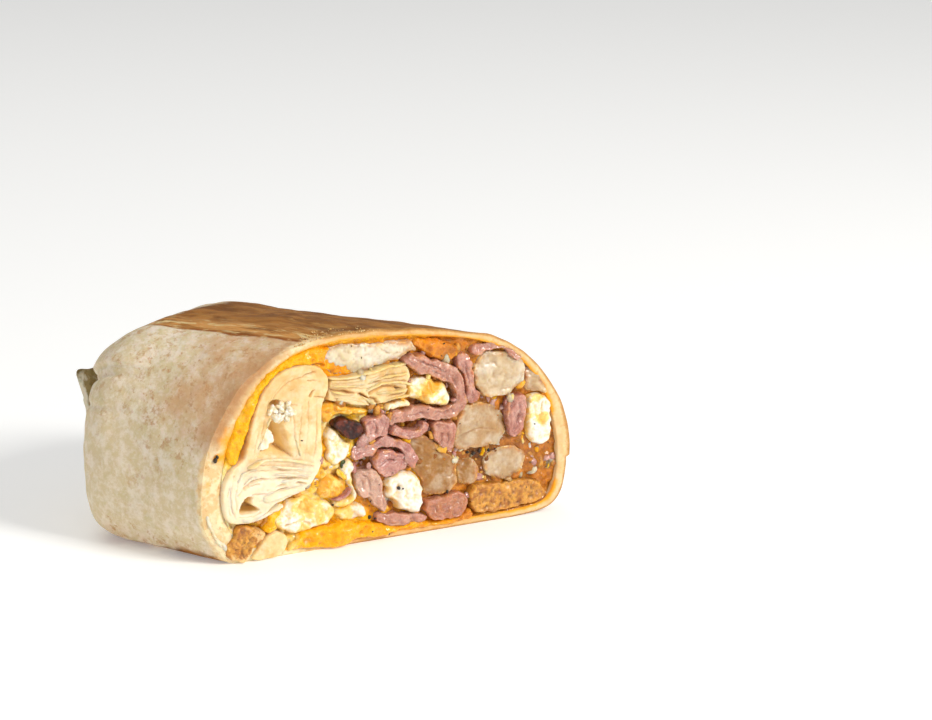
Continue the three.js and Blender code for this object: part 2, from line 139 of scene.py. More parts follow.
def turnOf(loop):
    x, z = loop[:, 0], loop[:, 1]
    return np.sign(np.sum(x * np.roll(z, -1) - z * np.roll(x, -1)))


def anticlockwise(loop):
    return loop if turnOf(loop) > 0 else loop[::-1]


def outwards(loop):
    along = np.roll(loop, -1, axis=0) - np.roll(loop, 1, axis=0)
    along /= np.linalg.norm(along, axis=1)[:, None] + 1e-9
    return np.stack([along[:, 1], -along[:, 0]], axis=1) * turnOf(loop)


def shrunk(loop, amount):
    # Loop moved inwards in small, smoothed steps, so that tight corners don't cross.
    steps = 12
    for _ in range(steps):
        loop = loop - outwards(loop) * (amount / steps)[:, None]
        loop = 0.5 * loop + 0.25 * (np.roll(loop, 1, axis=0) + np.roll(loop, -1, axis=0))
    return loop


def bandLoop(points, width, seed):
    # Outline of an uneven strip along an open curve, round at both ends.
    path = curveThrough(points, 0.5, closed=False)
    along = np.gradient(path, axis=0)
    along /= np.linalg.norm(along, axis=1)[:, None]
    uneven = noise(np.column_stack([path, np.full(len(path), seed * 2.3)]), 4, seed)
    half = width / 2 * (1 + 0.45 * uneven)
    side = np.stack([-along[:, 1], along[:, 0]], axis=1) * half[:, None]
    turns = np.radians([40, 90, 140])
    last = [path[-1] + side[-1] * math.cos(a) + along[-1] * math.sin(a) * half[-1] for a in turns]
    first = [path[0] - side[0] * math.cos(a) - along[0] * math.sin(a) * half[0] for a in turns]
    return np.vstack([path + side, last, (path - side)[::-1], first])


# Meshes
def placed(name, data):
    item = bpy.data.objects.new(name, data)
    bpy.context.scene.collection.objects.link(item)
    return item


def mark(mesh, marks):
    for key, values in marks.items():
        layer = mesh.attributes.new(key, "FLOAT", "POINT")
        layer.data.foreach_set("value", np.asarray(values, np.float32))


def makeMesh(name, points, faces, material, marks):
    mesh = bpy.data.meshes.new(name)
    mesh.from_pydata(toFrame(points).tolist(), [], faces)
    mesh.shade_smooth()
    mesh.materials.append(material)
    mark(mesh, marks)
    return placed(name, mesh)


def handIn(piece, node):
    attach(piece, "root")
    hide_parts(node)
    return piece


def rowsOf(first, count, rows):
    return [list(range(first + k * count, first + (k + 1) * count)) for k in range(rows)]


def rowFaces(rows):
    # Faces between closed rows of point numbers, each row joined to the next.
    sides = [(i, (i + 1) % len(rows[0])) for i in range(len(rows[0]))]
    return [(a[i], b[i], b[j], a[j]) for a, b in zip(rows, rows[1:]) for i, j in sides]


def hubFaces(hub, row):
    return [(hub, after, point) for point, after in zip(row, row[1:] + row[:1])]


def insideLoop(points, loop):
    inside = np.zeros(len(points), bool)
    after = np.roll(loop, -1, axis=0)
    for (x0, z0), (x1, z1) in zip(loop, after):
        if z0 == z1:
            continue
        crosses = (z0 > points[:, 1]) != (z1 > points[:, 1])
        inside ^= crosses & (points[:, 0] < (x1 - x0) * (points[:, 1] - z0) / (z1 - z0) + x0)
    return inside


def distanceTo(points, line, closed=True):
    # Distance from each point to the nearest place on the line.
    nearest = np.full(len(points), 1e9)
    after = np.roll(line, -1, axis=0) if closed else line[1:]
    for a, b in zip(line, after):
        edge = b - a
        t = np.clip((points - a) @ edge / (edge @ edge + 1e-9), 0, 1)
        nearest = np.minimum(nearest, np.sum((points - a - t[:, None] * edge) ** 2, axis=1))
    return np.sqrt(nearest)


def grooveDepth(flat, grooves, seed):
    # Ragged grooves along lines: [points, half width, depth].
    total = np.zeros(len(flat))
    spots = np.column_stack([flat, np.full(len(flat), seed * 1.9)])
    for i, (points, width, depth) in enumerate(grooves):
        line = curveThrough(points, 0.5, closed=False)
        line = line + 0.12 * np.random.default_rng(seed + i).uniform(-1, 1, line.shape)
        away = distanceTo(flat, line, closed=False)
        wide = width * (1 + 0.45 * noise(spots, 1.3, seed + i + 40))
        deep = depth * np.clip(0.5 + 0.9 * noise(spots, 2.4, seed + i), 0, 1.2)
        total = np.maximum(total, deep * bell(away, wide))
    return total


def pitDepth(flat, pits):
    # Hollows with steep sides: [outline, width of the side, depth].
    total = np.zeros(len(flat))
    for outline, slope, depth in pits:
        loop = curveThrough(outline, 0.4)
        away = np.where(insideLoop(flat, loop), distanceTo(flat, loop), 0)
        total = np.maximum(total, depth * smooth(away, 0, slope))
    return total


def hollowness(height, faces):
    # How far each point lies below its surroundings, from 0 to 1. The materials tint these hollows as painted
    # shade.
    pairs = np.array([(face[i - 1], face[i]) for face in faces for i in range(len(face))])
    both = np.vstack([pairs, pairs[:, ::-1]])
    number = np.bincount(both[:, 0], minlength=len(height)) + 1e-9
    around = height
    for _ in range(5):
        around = np.bincount(both[:, 0], around[both[:, 1]], len(height)) / number
    return np.clip((around - height) / 0.16, 0, 1)


def filledLoop(loop, spacing, seed):
    # Even, slightly scattered points inside the loop, and the triangles over them.
    low, high = loop.min(0), loop.max(0)
    columns = np.arange(low[0], high[0], spacing)
    rows = np.arange(low[1], high[1], spacing * 0.866)
    x, z = np.meshgrid(columns, rows)
    x = x + (np.arange(len(rows)) % 2)[:, None] * spacing / 2
    grid = np.stack([x.ravel(), z.ravel()], axis=1)
    grid += np.random.default_rng(seed).uniform(-0.12, 0.12, grid.shape) * spacing
    grid = grid[insideLoop(grid, loop)]
    away = distanceTo(grid, loop)
    grid, away = grid[away > spacing * 0.6], away[away > spacing * 0.6]
    flat = np.vstack([loop, grid])
    found = geometry.delaunay_2d_cdt([Vector(p) for p in flat], [], [list(range(len(loop)))], 1, 1e-7)
    if len(found[0]) != len(flat):
        return None       # the outline crosses itself
    return flat, np.concatenate([np.zeros(len(loop)), away]), [tuple(face) for face in found[2]]


def angularLoop(points, spacing):
    # Outline with straight sides and only slightly rounded corners, for diced pieces.
    corners = np.asarray(points, float)
    sides = np.linalg.norm(np.roll(corners, -1, axis=0) - corners, axis=1)
    loop = np.vstack([np.linspace(a, b, max(int(side / spacing), 2), endpoint=False)
                      for a, b, side in zip(corners, np.roll(corners, -1, axis=0), sides)])
    for _ in range(5):
        loop = 0.5 * loop + 0.25 * (np.roll(loop, 1, axis=0) + np.roll(loop, -1, axis=0))
    return loop


def pieceLoop(outline, style, width=None, seed=0):
    if width:
        loop = bandLoop(outline, width, seed)
    elif style.get("angular"):
        loop = angularLoop(outline, style["spacing"])
    else:
        loop = curveThrough(outline, style["spacing"])
    loop = curveThrough(loop[::3], style["spacing"]) if width else loop
    return anticlockwise(loop)


def lengthGrain(seed):
    # Turns a pattern so that its ridges lie at an angle of their own on each piece.
    angle = seed * 1.7
    c, s = math.cos(angle), math.sin(angle)
    return np.array([[c, -s * 0.35, 0], [s, c * 0.35, 0], [0, 0, 1]])


def reliefMesh(loop, style, rise, depth, seed, grooves=(), pits=()):
    # A piece of food: its face at the cut is a soft relief, and it runs back along the burrito.
    wobble = 1.0
    while True:
        spots = np.column_stack([loop, np.full(len(loop), seed * 3.1)])
        worn = loop + outwards(loop) * (wobble * lumps(spots, style["wobble"], seed))[:, None]
        worn = curveThrough(worn[::2], style["spacing"])
        filled = filledLoop(worn, style["spacing"], seed)
        if filled:
            break
        wobble *= 0.6          # the outline crosses itself, so it is made a little smoother
        loop = 0.5 * loop + 0.25 * (np.roll(loop, 1, axis=0) + np.roll(loop, -1, axis=0))
    flat, away, faces = filled
    count, total = len(worn), len(flat)
    edge, power = min(style["edge"], away.max() * 0.8), style.get("power", 2.4)
    dome = (1 - (1 - np.clip(away / edge, 0, 1)) ** power) ** (1 / power)
    spots = np.column_stack([flat, np.full(total, seed * 5.3)])
    shape = style["crown"] * smooth(away, 0, 4) + lumps(spots, style["bumps"], seed)
    lean = np.random.default_rng(seed).uniform(-1, 1, 2) * style.get("tilt", 0.08)
    shape += np.clip((flat - flat.mean(0)) @ lean, -0.9, 0.9)
    if style.get("facets"):
        draw = np.random.default_rng(seed + 500)
        middles = flat[draw.integers(0, total, style["facets"])]
        leans = draw.uniform(-0.3, 0.3, (style["facets"], 2))
        planes = np.einsum("pfk,fk->pf", flat[:, None, :] - middles[None], leans)
        shape += np.clip(planes.min(1), -1.2, 1)
    for size, height in style.get("creases", []):
        shape -= height * bell(noise(spots @ lengthGrain(seed), size, seed + 7), 0.28)
    if len(grooves):
        shape -= grooveDepth(flat, grooves, seed)
    forward = -style["sink"] + (rise + style["sink"]) * dome + shape * (0.2 + 0.8 * smooth(away, 0, edge))
    hollow = hollowness(forward, faces)
    pocket = pitDepth(flat, pits)
    forward -= pocket
    rings = [np.column_stack([flat[:, 0], -forward, flat[:, 1]])]
    outline, back = flat[:count], np.full(count, style["sink"])
    for share, shrink in ((0.25, 0), (0.85, 0), (1, 0.5)):
        inset = outline - outwards(outline) * shrink
        rings.append(np.column_stack([inset[:, 0], back, inset[:, 1]]) + axis * depth * share)
    rows = rowsOf(0, count, 1) + rowsOf(total, count, 3)
    cap = geometry.delaunay_2d_cdt([Vector(p) for p in outline], [], [list(range(count))], 1, 1e-7)[2]
    faces += rowFaces(rows) + [tuple(rows[3][i] for i in face[::-1]) for face in cap]
    marks = {"edge": away, "hollow": hollow, "pocket": pocket}
    marks = {key: np.append(values, np.zeros(3 * count)) for key, values in marks.items()}
    return np.vstack(rings), faces, marks


# Materials
def paint(code):
    # Linear colour from a hex code.
    parts = [int(code[i:i + 2], 16) / 255 for i in (1, 3, 5)]
    return tuple(c / 12.92 if c <= 0.04045 else ((c + 0.055) / 1.055) ** 2.4 for c in parts) + (1,)


class Graph:
    # A node tree under construction.
    def __init__(self, tree):
        self.tree = tree

    def plug(self, sockets, values):
        for key, value in values.items():
            if isinstance(value, bpy.types.NodeSocket):
                self.tree.links.new(value, sockets[key])
            elif value is not None:
                sockets[key].default_value = value

    def node(self, kind, inputs={}, output=0, **settings):
        # Adds a node with its inputs filled in, and gives one of its outputs.
        made = self.tree.nodes.new(kind)
        for key, value in settings.items():
            setattr(made, key, value)
        self.plug(made.inputs, inputs)
        return made.outputs[output]


class Recipe(Graph):
    # A material made of parts. A part is a number, a socket, the name of an attribute, a noise
    # (size, detail, roughness, warp, vector) or another part spread out (part, low, high, least, most).
    def __init__(self, name, **sockets):
        self.material = bpy.data.materials.new(name)
        self.material.use_nodes = True
        super().__init__(self.material.node_tree)
        self.shader = self.tree.nodes["Principled BSDF"]
        self.plug(self.shader.inputs, {key.replace("_", " "): value for key, value in sockets.items()})
        self.place = self.node("ShaderNodeTexCoord", output="Object")

    def turned(self, scale):
        # Object coordinates turned so that Y runs along the burrito, then stretched.
        turned = self.node("ShaderNodeMapping", {"Rotation": (0, 0, slant), "Vector": self.place},
                           vector_type="TEXTURE")
        return self.node("ShaderNodeMapping", {"Scale": scale, "Vector": turned})

    def noise(self, size, detail=3, rough=0.55, warp=0, vector=None):
        return self.node("ShaderNodeTexNoise", {
            "Vector": vector or self.place, "Scale": 1000 / size, "Detail": detail, "Roughness": rough,
            "Distortion": warp}, "Fac")

    def span(self, value, low, high, least=0.0, most=1.0):
        return self.node("ShaderNodeMapRange", {
            "Value": value, "From Min": low, "From Max": high, "To Min": least, "To Max": most},
            "Result", interpolation_type="SMOOTHSTEP")

    def part(self, what):
        if isinstance(what, str):
            return self.node("ShaderNodeAttribute", output="Fac", attribute_name=what)
        if not isinstance(what, tuple):
            return what
        if isinstance(what[0], (int, float)):
            return self.noise(*what)
        return self.span(self.part(what[0]), *what[1:])

    def join(self, operation, first, *others):
        value = self.part(first)
        for other in others:
            value = self.node("ShaderNodeMath", {0: value, 1: self.part(other)}, operation=operation)
        return value

    def stack(self, colour, *layers):
        # Colours laid over each other, each as strongly as the product of its parts: [colour, *parts].
        def tint(value):
            return paint(value) if isinstance(value, str) else value
        for over, *parts in layers:
            inputs = {0: self.join("MULTIPLY", *parts), 6: tint(colour), 7: tint(over)}
            colour = self.node("ShaderNodeMix", inputs, 2, data_type="RGBA")
        return colour

    def ramp(self, value, stops):
        # Colours blended along a value: [(place, hex code)].
        blended = self.node("ShaderNodeValToRGB", {0: value}, "Color")
        made = blended.node.color_ramp.elements
        while len(made) < len(stops):
            made.new(0.5)
        for stop, (position, code) in zip(made, stops):
            stop.position, stop.color = position, paint(code)
        return blended

    def finish(self, colour, rough, *bumps):
        # Bumps are [noise, millimetres, strength], laid one over the other.
        normal = None
        for height, depth, strength in bumps:
            inputs = {"Height": self.part(height), "Distance": depth / 1000, "Strength": strength}
            normal = self.node("ShaderNodeBump", inputs | {"Normal": normal})
        self.plug(self.shader.inputs, {"Base Color": colour, "Roughness": self.part(rough), "Normal": normal})
        return self.material


def mixed(name, rough, bumps, sockets, *colours):
    recipe = Recipe(name, **sockets)
    return recipe.finish(recipe.stack(*colours), rough, *bumps)


def flesh(weight, scale, radius, **more):
    # Light that goes a little way into the food, millimetres and share of each colour.
    return dict(Subsurface_Weight=weight, Subsurface_Scale=scale / 1000, Subsurface_Radius=radius, **more)


softFlesh = flesh(0.35, 1.6, (1.0, 0.55, 0.3))
toastColour = {"dark": "#74471a", "middle": "#a06a2e", "pale": "#be8c4c"}


def tortillaSkin():
    r = Recipe("TortillaSkin", Specular_IOR_Level=0.15, **softFlesh)
    streaks, fine = r.turned((1, 0.4, 1)), r.turned((1, 0.16, 1))
    crust = r.stack(
        toastColour["dark"],
        (toastColour["middle"], ((7, 5, 0.62, 0.8, streaks), 0.4, 0.62)),
        (toastColour["pale"], ((4.5, 5, 0.62, 0.5, streaks), 0.54, 0.7, 0, 0.5)),
        ("#c98f4e", ((3.2, 5, 0.66, 1, fine), 0.42, 0.56), "crease"),
        ("#dcc48c", ((1.7, 3, 0.5, 1.6, fine), 0.54, 0.62, 0, 0.85), "crease"),
        ("#8a4a14", "line", ((3, 4), 0.36, 0.5)))
    toast = r.span(r.join("ADD", "toast", r.join("MULTIPLY", (2.4, 5, 0.68, 0.4), 0.5)), 0.45, 0.95)
    soak = r.join("ADD", "soak", r.join("MULTIPLY", (1.6, 5, 0.68), 0.7))
    browning = r.join("ADD", "brown", r.join("MULTIPLY", (2, 5, 0.7), 0.8))
    edge = r.join("ADD", "rim", r.join("MULTIPLY", r.join("SUBTRACT", (1.7, 5, 0.7), 0.5), 0.9))
    rim = r.stack(
        "#e4c28d",
        ("#eedcb2", ((2.2, 4, 0.6), 0.4, 0.62)),
        ("#c48a48", ((1.3, 5, 0.68), 0.55, 0.7, 0, 0.6)),
        ("#daa865", "oily", ((2.2, 5, 0.66), 0.36, 0.6, 0.35, 1)),
        ("#f9a92c", (soak, 0.85, 1.35)),
        (toastColour["pale"], (browning, 0.85, 1.25, 0, 0.85)),
        (toastColour["middle"], (browning, 1.2, 1.5, 0, 0.8)))
    colour = r.stack(
        "#d4c19b",
        ("#e9dccb", ((2.8, 6, 0.72), 0.42, 0.62), 0.72),
        ("#c6b886", ((5, 5, 0.66), 0.5, 0.7), 0.5),
        ("#e9dccb", ((1.1, 4, 0.65), 0.5, 0.7, 0, 0.45)),
        ("#c99c70", ("warm", 0.45, 1.0), ((4, 5, 0.66), 0.36, 0.6, 0.3, 0.8)),
        ("#b8895a", ((1.9, 5, 0.7), 0.56, 0.68, 0, 0.8), ("warm", 0.1, 0.6)),
        ("#b8895a", ((3.6, 5, 0.72), 0.54, 0.66, 0, 0.7), ("warm", 0.2, 0.5)),
        (crust, toast),
        (rim, (edge, 0.3, 0.7)),
        # Painted shade: the upper left of the rim, and the skin just behind the cut, darkened towards tan.
        ("#b98a5e", "tanned", ((2, 5, 0.7), 0.3, 0.6, 0.75, 1)))
    return r.finish(colour, (toast, 0, 1, 0.75, 0.62),
                    ((0.7, 5, 0.65), 0.25, 0.5), ((3.0, 4, 0.6, 0.5), 0.7, 0.5),
                    ((3.5, 3, 0.5, 0.5, r.turned((1, 0.2, 1))), 0.5, 0.4))


def meltedCheese():
    r = Recipe("MeltedCheese", Coat_Weight=0.4, Coat_Roughness=0.04, Specular_IOR_Level=0.3,
               Specular_Tint=(1.0, 0.75, 0.4, 1.0), **flesh(0.45, 3, (1.0, 0.6, 0.1)))
    patches = r.join("MULTIPLY", r.join("SUBTRACT", (2.6, 6, 0.7), 0.5), "patchy")
    # The dark brown end of the ramp is partly the cheese's own amber, partly painted shade in the gaps and on
    # the right.
    colour = r.ramp(r.join("MULTIPLY", r.join("ADD", "amber", patches), 0.7), [
        (0.0, "#fbe6b0"), (0.1, "#fad070"), (0.2, "#fdb406"), (0.36, "#f49c0e"), (0.5, "#d6842a"),
        (0.68, "#96561f"), (0.88, "#4d2a13")])
    # Painted shade: darker amber in the hollows.
    colour = r.stack(colour, ("#ffd870", ((1.1, 4, 0.6), 0.62, 0.74, 0, 0.1)), ("#b8701f", "hollow", 0.5))
    return r.finish(colour, ((1.6, 3), 0.35, 0.65, 0.12, 0.4), ((0.8, 3, 0.55), 0.35, 1.0),
                    ((2.2, 3, 0.5), 1.0, 0.8))


def eggCurd():
    r = Recipe("EggCurd", Coat_Weight=0.3, Coat_Roughness=0.15, **flesh(0.45, 2.2, (1.0, 0.85, 0.5)))
    cloudy = r.join("MULTIPLY", r.join("SUBTRACT", (4, 4, 0.55), 0.5), 2.2)
    yolky = r.join("ADD", "yolky", 0.35, cloudy)
    colour = r.stack(
        "#f4eddc",
        ("#f5d27a", (yolky, 0.42, 0.66)),
        ("#efa61e", (yolky, 0.7, 1.0)),
        ("#f6c65c", ("edge", 0.1, 1.5, 1, 0), ((2.2, 5, 0.7), 0.42, 0.6), 0.85),
        # Painted shade: warmer yellow in the hollows.
        ("#f0c566", "hollow", 0.6))
    return r.finish(colour, ((1.6, 3), 0.35, 0.65, 0.26, 0.5), ((0.9, 5, 0.64), 0.35, 0.6))


def brownedCrust():
    r = Recipe("BrownedCrust", Coat_Weight=0.25, Coat_Roughness=0.2, **softFlesh)
    fading = r.join("ADD", "fading", ((1.8, 5, 0.66), 0.3, 0.7, -0.4, 0.4))
    colour = r.stack(
        "#a9661c",
        ("#dc9c36", ((1.8, 5, 0.65), 0.36, 0.62)),
        ("#edc277", ((1.4, 4, 0.65), 0.56, 0.72, 0, 0.6)),
        ("#6d3a12", ((2.2, 4, 0.7), 0.62, 0.72, 0, 0.7)),
        # Painted shade: dark brown in the hollows.
        ("#6d3a12", "hollow", 0.7),
        ("#ecc684", (fading, 0.35, 0.85, 0, 0.9)))
    return r.finish(colour, 0.42, ((0.8, 5, 0.7), 0.4, 0.8))


def shadedCornerSkin():
    # The loose corner is painted darker than the rest of the tortilla: painted shade, since it stands in the
    # shade of the roll.
    r = Recipe("DriedCorner", Subsurface_Weight=0.2, Subsurface_Scale=0.001, Specular_IOR_Level=0.2)
    fading = r.join("ADD", "pale", ((2.4, 4, 0.6), 0.3, 0.7, -0.25, 0.25))
    colour = r.stack(
        "#6b5628",
        ("#877244", ((4, 5, 0.66), 0.4, 0.62)),
        ("#a08a5a", ((1.5, 4, 0.6), 0.52, 0.7, 0, 0.6)),
        ("#dacfb6", (fading, 0.1, 0.75, 0, 0.95)))
    return r.finish(colour, 0.7, ((1.2, 4, 0.6), 0.4, 0.6))


def plainBit(name, colours, rough, **sockets):
    return mixed(name, rough, [((0.4, 3), 0.1, 0.6)], sockets, colours[0], (colours[1], ((0.9, 3), 0.4, 0.6)))


skin = tortillaSkin()
shadedCorner = shadedCornerSkin()
dough = mixed(
    "FoldDough", 0.5, [((0.6, 5, 0.65), 0.14, 0.5)],
    flesh(0.6, 3, (1.0, 0.75, 0.4), Specular_IOR_Level=0.3), "#ebcf9a",
    ("#e0b87a", ((5, 4, 0.6), 0.4, 0.62)),
    ("#f6e8c8", ((2.8, 5, 0.6), 0.4, 0.66, 0, 0.5)),
    ("#dcab5c", ((1.1, 4, 0.66), 0.66, 0.78, 0, 0.16)),
    ("#efb758", ("edge", 0.1, 1.1, 1, 0), ((2.4, 5, 0.7), 0.44, 0.6), 0.35),
    # Painted shade: tan in the hollows.
    ("#cfa468", "hollow", 0.6),
    ("#faf1de", "white", 0.8),
    ("#dcae66", "golden", ((4, 4), 0.3, 0.7, 0.5, 1)),
    # Painted shade in the pocket: golden on its sides, darker gold deep inside.
    ("#f2cd84", ("pocket", 0.2, 2.6, 0, 0.8)),
    ("#d09a48", ("pocket", 4.2, 7, 0, 0.5)))
cheese = meltedCheese()
potato = mixed(
    "PotatoFlesh", 0.36, [((1.4, 5, 0.65), 0.4, 0.6)],
    flesh(0.7, 4, (1.0, 0.7, 0.35), Coat_Weight=0.3, Coat_Roughness=0.12), "#e6dcc6",
    ("#dccaa4", ((5, 3), 0.35, 0.65)),
    # Darker tan on the potatoes given a share: partly their own tone, partly painted shade.
    ("#a06c20", "dim", ((5, 4, 0.6), 0.34, 0.64, 0.8, 1.3)),
    ("#f1e4c6", ((2.4, 5, 0.65), 0.48, 0.7, 0, 0.22)),
    ("#a9641f", ("edge", 0.2, 1.6, 1, 0), ((3.4, 5, 0.66), 0.4, 0.58), 0.85),
    ("#e0a044", ("edge", 0.2, 1.2, 1, 0), ((2.4, 5, 0.7), 0.48, 0.62), 0.7),
    # Painted shade: darker tan in the hollows.
    ("#a9773c", "hollow", 0.6))
ham = mixed(
    "HamMeat", ((1.4, 3), 0.35, 0.65, 0.16, 0.42), [((1.5, 5, 0.6), 0.6, 0.7), ((0.55, 3, 0.55), 0.3, 0.8)],
    flesh(0.5, 3, (1.0, 0.45, 0.35), Coat_Weight=0.9, Coat_Roughness=0.09), "#ad7269",
    ("#cc988a", ((3, 6, 0.7, 0.4), 0.4, 0.6)),
    ("#edd2c2", ((1.5, 6, 0.72, 0.6), 0.56, 0.68, 0, 0.6)),
    ("#9c5a55", ((4, 4, 0.66), 0.56, 0.68, 0, 0.75)),
    # Painted shade: darker maroon at the edges, where the slices dip between pieces.
    ("#7d3a2e", ("edge", 0, 0.6, 1, 0), ((1.8, 4), 0.42, 0.58), 0.7),
    ("#d98f46", ("edge", 0.1, 1.5, 1, 0), ((2.6, 5, 0.7), 0.5, 0.62), 0.75),
    ("#e2c6a6", "fatty"),
    ("#b5703c", "glazed", ((3.2, 5, 0.66), 0.36, 0.6, 0.5, 1)),
    # Painted shade: dark red in the hollows.
    ("#874038", "hollow", 0.35))
egg = eggCurd()
browned = brownedCrust()
charred = mixed(
    "CharredBark", 0.3, [((0.7, 5, 0.65), 0.35, 0.8)],
    dict(Coat_Weight=0.15, Coat_Roughness=0.12, Specular_IOR_Level=0.3), "#2c0e08",
    ("#6c2f1e", ((1.6, 4, 0.6), 0.4, 0.66)),
    ("#c8a078", ((2.4, 3, 0.6), 0.7, 0.8, 0, 0.4)))
pepper = plainBit("BlackPepper", ("#1c1712", "#3a2c1e"), 0.5)
herb = plainBit("GreenHerb", ("#4f5a24", "#2d3a17"), 0.5)
toasted = plainBit("ToastedCrumb", ("#f3cf93", "#d39a50"), 0.6, **softFlesh)
crumbs = plainBit("DoughCrumb", ("#f9efdc", "#ead3a8"), 0.6, **softFlesh)
print("materials ready")


# The rolled tortilla
def lengthAt(x):
    return burrito["nearLength"] + (x + burrito["leftReach"]) * math.sin(slant)


def closing(distance, radius, power):
    t = np.clip(1 - distance / radius, 0, 1)
    return np.clip(1 - t ** power, 0, 1) ** (1 / power)


def wallAt(loop):
    thick = np.clip((14 - loop[:, 0]) / 16, 0, 1)
    return burrito["wallThin"] + (burrito["wallThick"] - burrito["wallThin"]) * thick


roll = {"roundSpacing": 0.5, "bodyRings": 90, "capRings": 44, "rimRings": 15, "innerRings": 24}
loopTimes = evenTimes(cutSection, roll["roundSpacing"], True)[::-1]
cutLoop = catmull(cutSection, loopTimes, True)
endLoop = catmull(endSection, loopTimes, True)


def rollRing(blend, distanceFrom, inset):
    # One ring of the roll, between its outline at the cut and the one at the closed end.
    def outline(loop):
        return shrunk(loop, wallAt(loop) * inset) if inset else loop
    loop = outline(cutLoop) * (1 - blend) + outline(endLoop) * blend
    endInset = burrito["wallEnd"] * inset
    distance = distanceFrom(loop[:, 0])
    keepAcross = closing(distance - endInset, burrito["sideRound"] - endInset, burrito["sidePower"])
    keepHeight = closing(distance - endInset, burrito["topRound"] - endInset, burrito["topPower"])
    place = np.column_stack([loop[:, 0], np.zeros(len(loop)), np.zeros(len(loop))])
    place += axis * (lengthAt(loop[:, 0]) - distance)[:, None]
    centre = burrito["midAcross"] * math.cos(slant)
    place += across * ((centre - place @ across) * (1 - keepAcross))[:, None]
    floor = burrito["wallThin"] * inset
    place[:, 2] = np.maximum(burrito["midHeight"] + (loop[:, 1] - burrito["midHeight"]) * keepHeight, floor)
    return place


def rollRings(inset, bodyRings, capRings, first):
    rings = []
    start, tip = burrito["capStart"], burrito["wallEnd"] * inset + burrito["tipInset"]
    for f in np.linspace(first, 1, bodyRings, endpoint=False):
        rings.append(rollRing(smooth(f, 0, 1), lambda x: lengthAt(x) * (1 - f) + start * f, inset))
    for left in 1 - np.sin(np.linspace(0, math.pi / 2, capRings)):
        rings.append(rollRing(1, lambda x: tip + (start - tip) * left, inset))
    return rings


def gridNormals(grid):
    along = np.gradient(grid, axis=0)
    around = np.roll(grid, -1, axis=1) - np.roll(grid, 1, axis=1)
    normal = np.cross(along, around)
    return normal / (np.linalg.norm(normal, axis=2)[:, :, None] + 1e-9)


skinShape = {
    "swells": [(16, 0.55), (6.5, 0.28), (2.6, 0.09)],
    "rippleHeight": 0.22, "rippleSize": 3.2, "rippleFrom": (38, 46),     # lengthwise, in the top
    "seamHeight": 12, "seamStep": 1.1, "seamFade": 26,     # loose edge of the tortilla, on the far side
    "tuckStep": 1.8, "tuckFade": 16, "tuckMiddle": (33, 24),             # flap folded over the closed end
    # Creases that meet at the end: [lean, offset, depth].
    "creaseMiddle": (33, 22), "creaseWidth": 0.9,
    "endCreases": [(0.9, -9, 1.3), (-0.75, 6, 1.5), (-0.35, -16, 1), (0.35, 17, 1.2), (1.3, 3, 0.8)],
    "lipFlare": 1.0, "lipHeight": 9, "lipLength": 2.6,     # lower left edge of the cut, bent outwards
}
burritoEnd = float((axis * lengthAt(0)) @ axis)
farBack = 99.0          # stands for the distance of the closed ends from the cut


def shapedSkin(grid):
    # Swells, the lapped seam and the tucked end, all pushed out along the surface.
    s = skinShape
    rings, count, _ = grid.shape
    along, acrossAt, height = grid @ axis, grid @ across, grid[:, :, 2]
    push = lumps(grid.reshape(-1, 3), s["swells"], 11).reshape(rings, count)
    run = along - (grid[0] @ axis)[None, :]
    pastBody = smooth(burritoEnd - along, 30, 3)
    lengthwise = np.column_stack([acrossAt.ravel(), along.ravel() * 0.12, height.ravel()])
    ripples = noise(lengthwise, s["rippleSize"], 5).reshape(rings, count)
    push += smooth(height, *s["rippleFrom"]) * s["rippleHeight"] * ripples
    lap = height - s["seamHeight"] - 1.5 * np.sin(along / 13) - 0.5 * np.sin(along / 4.1)
    onFar = smooth(acrossAt, 55, 62)
    push += onFar * s["seamStep"] * smooth(lap, -0.15, 0.35) * (1 - smooth(lap, 1, s["seamFade"]))
    middle, level = s["tuckMiddle"]
    tuck = (acrossAt - middle) * 0.52 + (height - level) * 0.85 + 1.6 * np.sin(acrossAt / 7)
    push += pastBody * s["tuckStep"] * smooth(tuck, -0.2, 0.5) * (1 - smooth(tuck, 2, s["tuckFade"]))
    middle, level = s["creaseMiddle"]
    for lean, offset, depth in s["endCreases"]:
        crease = (acrossAt - middle - offset) * math.cos(lean) + (height - level) * math.sin(lean)
        push -= pastBody * depth * bell(crease, s["creaseWidth"])
    lowLeft = bell(height - s["lipHeight"], 5) * smooth(grid[0][None, :, 0], 2, -3)
    push += s["lipFlare"] * lowLeft * bell(run, s["lipLength"])
    push *= smooth(height, -0.5, 3)
    return grid + gridNormals(grid) * push[:, :, None], run


def rimRings(inner, outer):
    # The cut edge of the wall: a soft, slightly torn lip between the inner and the outer skin.
    rings = []
    for q in np.linspace(0, 1, roll["rimRings"]):
        ring = inner * (1 - q) + outer * q
        ring[:, 1] = 0.15 - 0.4 * math.sin(math.pi * q) ** 0.6
        wear = lumps(ring, [(3.5, 0.35), (1.2, 0.24), (0.6, 0.14)], 21)
        ring[:, 1] -= wear * math.sin(math.pi * min(q + 0.12, 1))
        rings.append(ring)
    return rings


# Where the skin changes colour, in millimetres across, up or back: [from, to], or [middle, width] for the
# crease and the line. The patches of toast away from the top have a strength.
skinMarks = {
    "toastAcross": (13.6, 15.8), "toastUp": (40.5, 46.8), "toastBack": (42, 26), "toastUnder": (4.2, 0.4),
    "toastPatch": 0.55, "creaseAcross": (18.5, 4.4), "lineAcross": (15.2, 0.55),
    "upperLeft": ((24, 32), (16, 6)), "rimBrownFrom": (16, 26), "rimFade": 1.6, "shadeFade": 4, "warmFade": 17,
    # Greasy spots on the rim: [x, z, size].
    "soakSpots": [(-4.6, 30.4, 1.4), (-3.6, 32.6, 1.1), (-7.6, 20, 1.3), (-7.8, 17.8, 1.2), (-5.4, 20.6, 1),
                  (-5.4, 26, 1)],
}


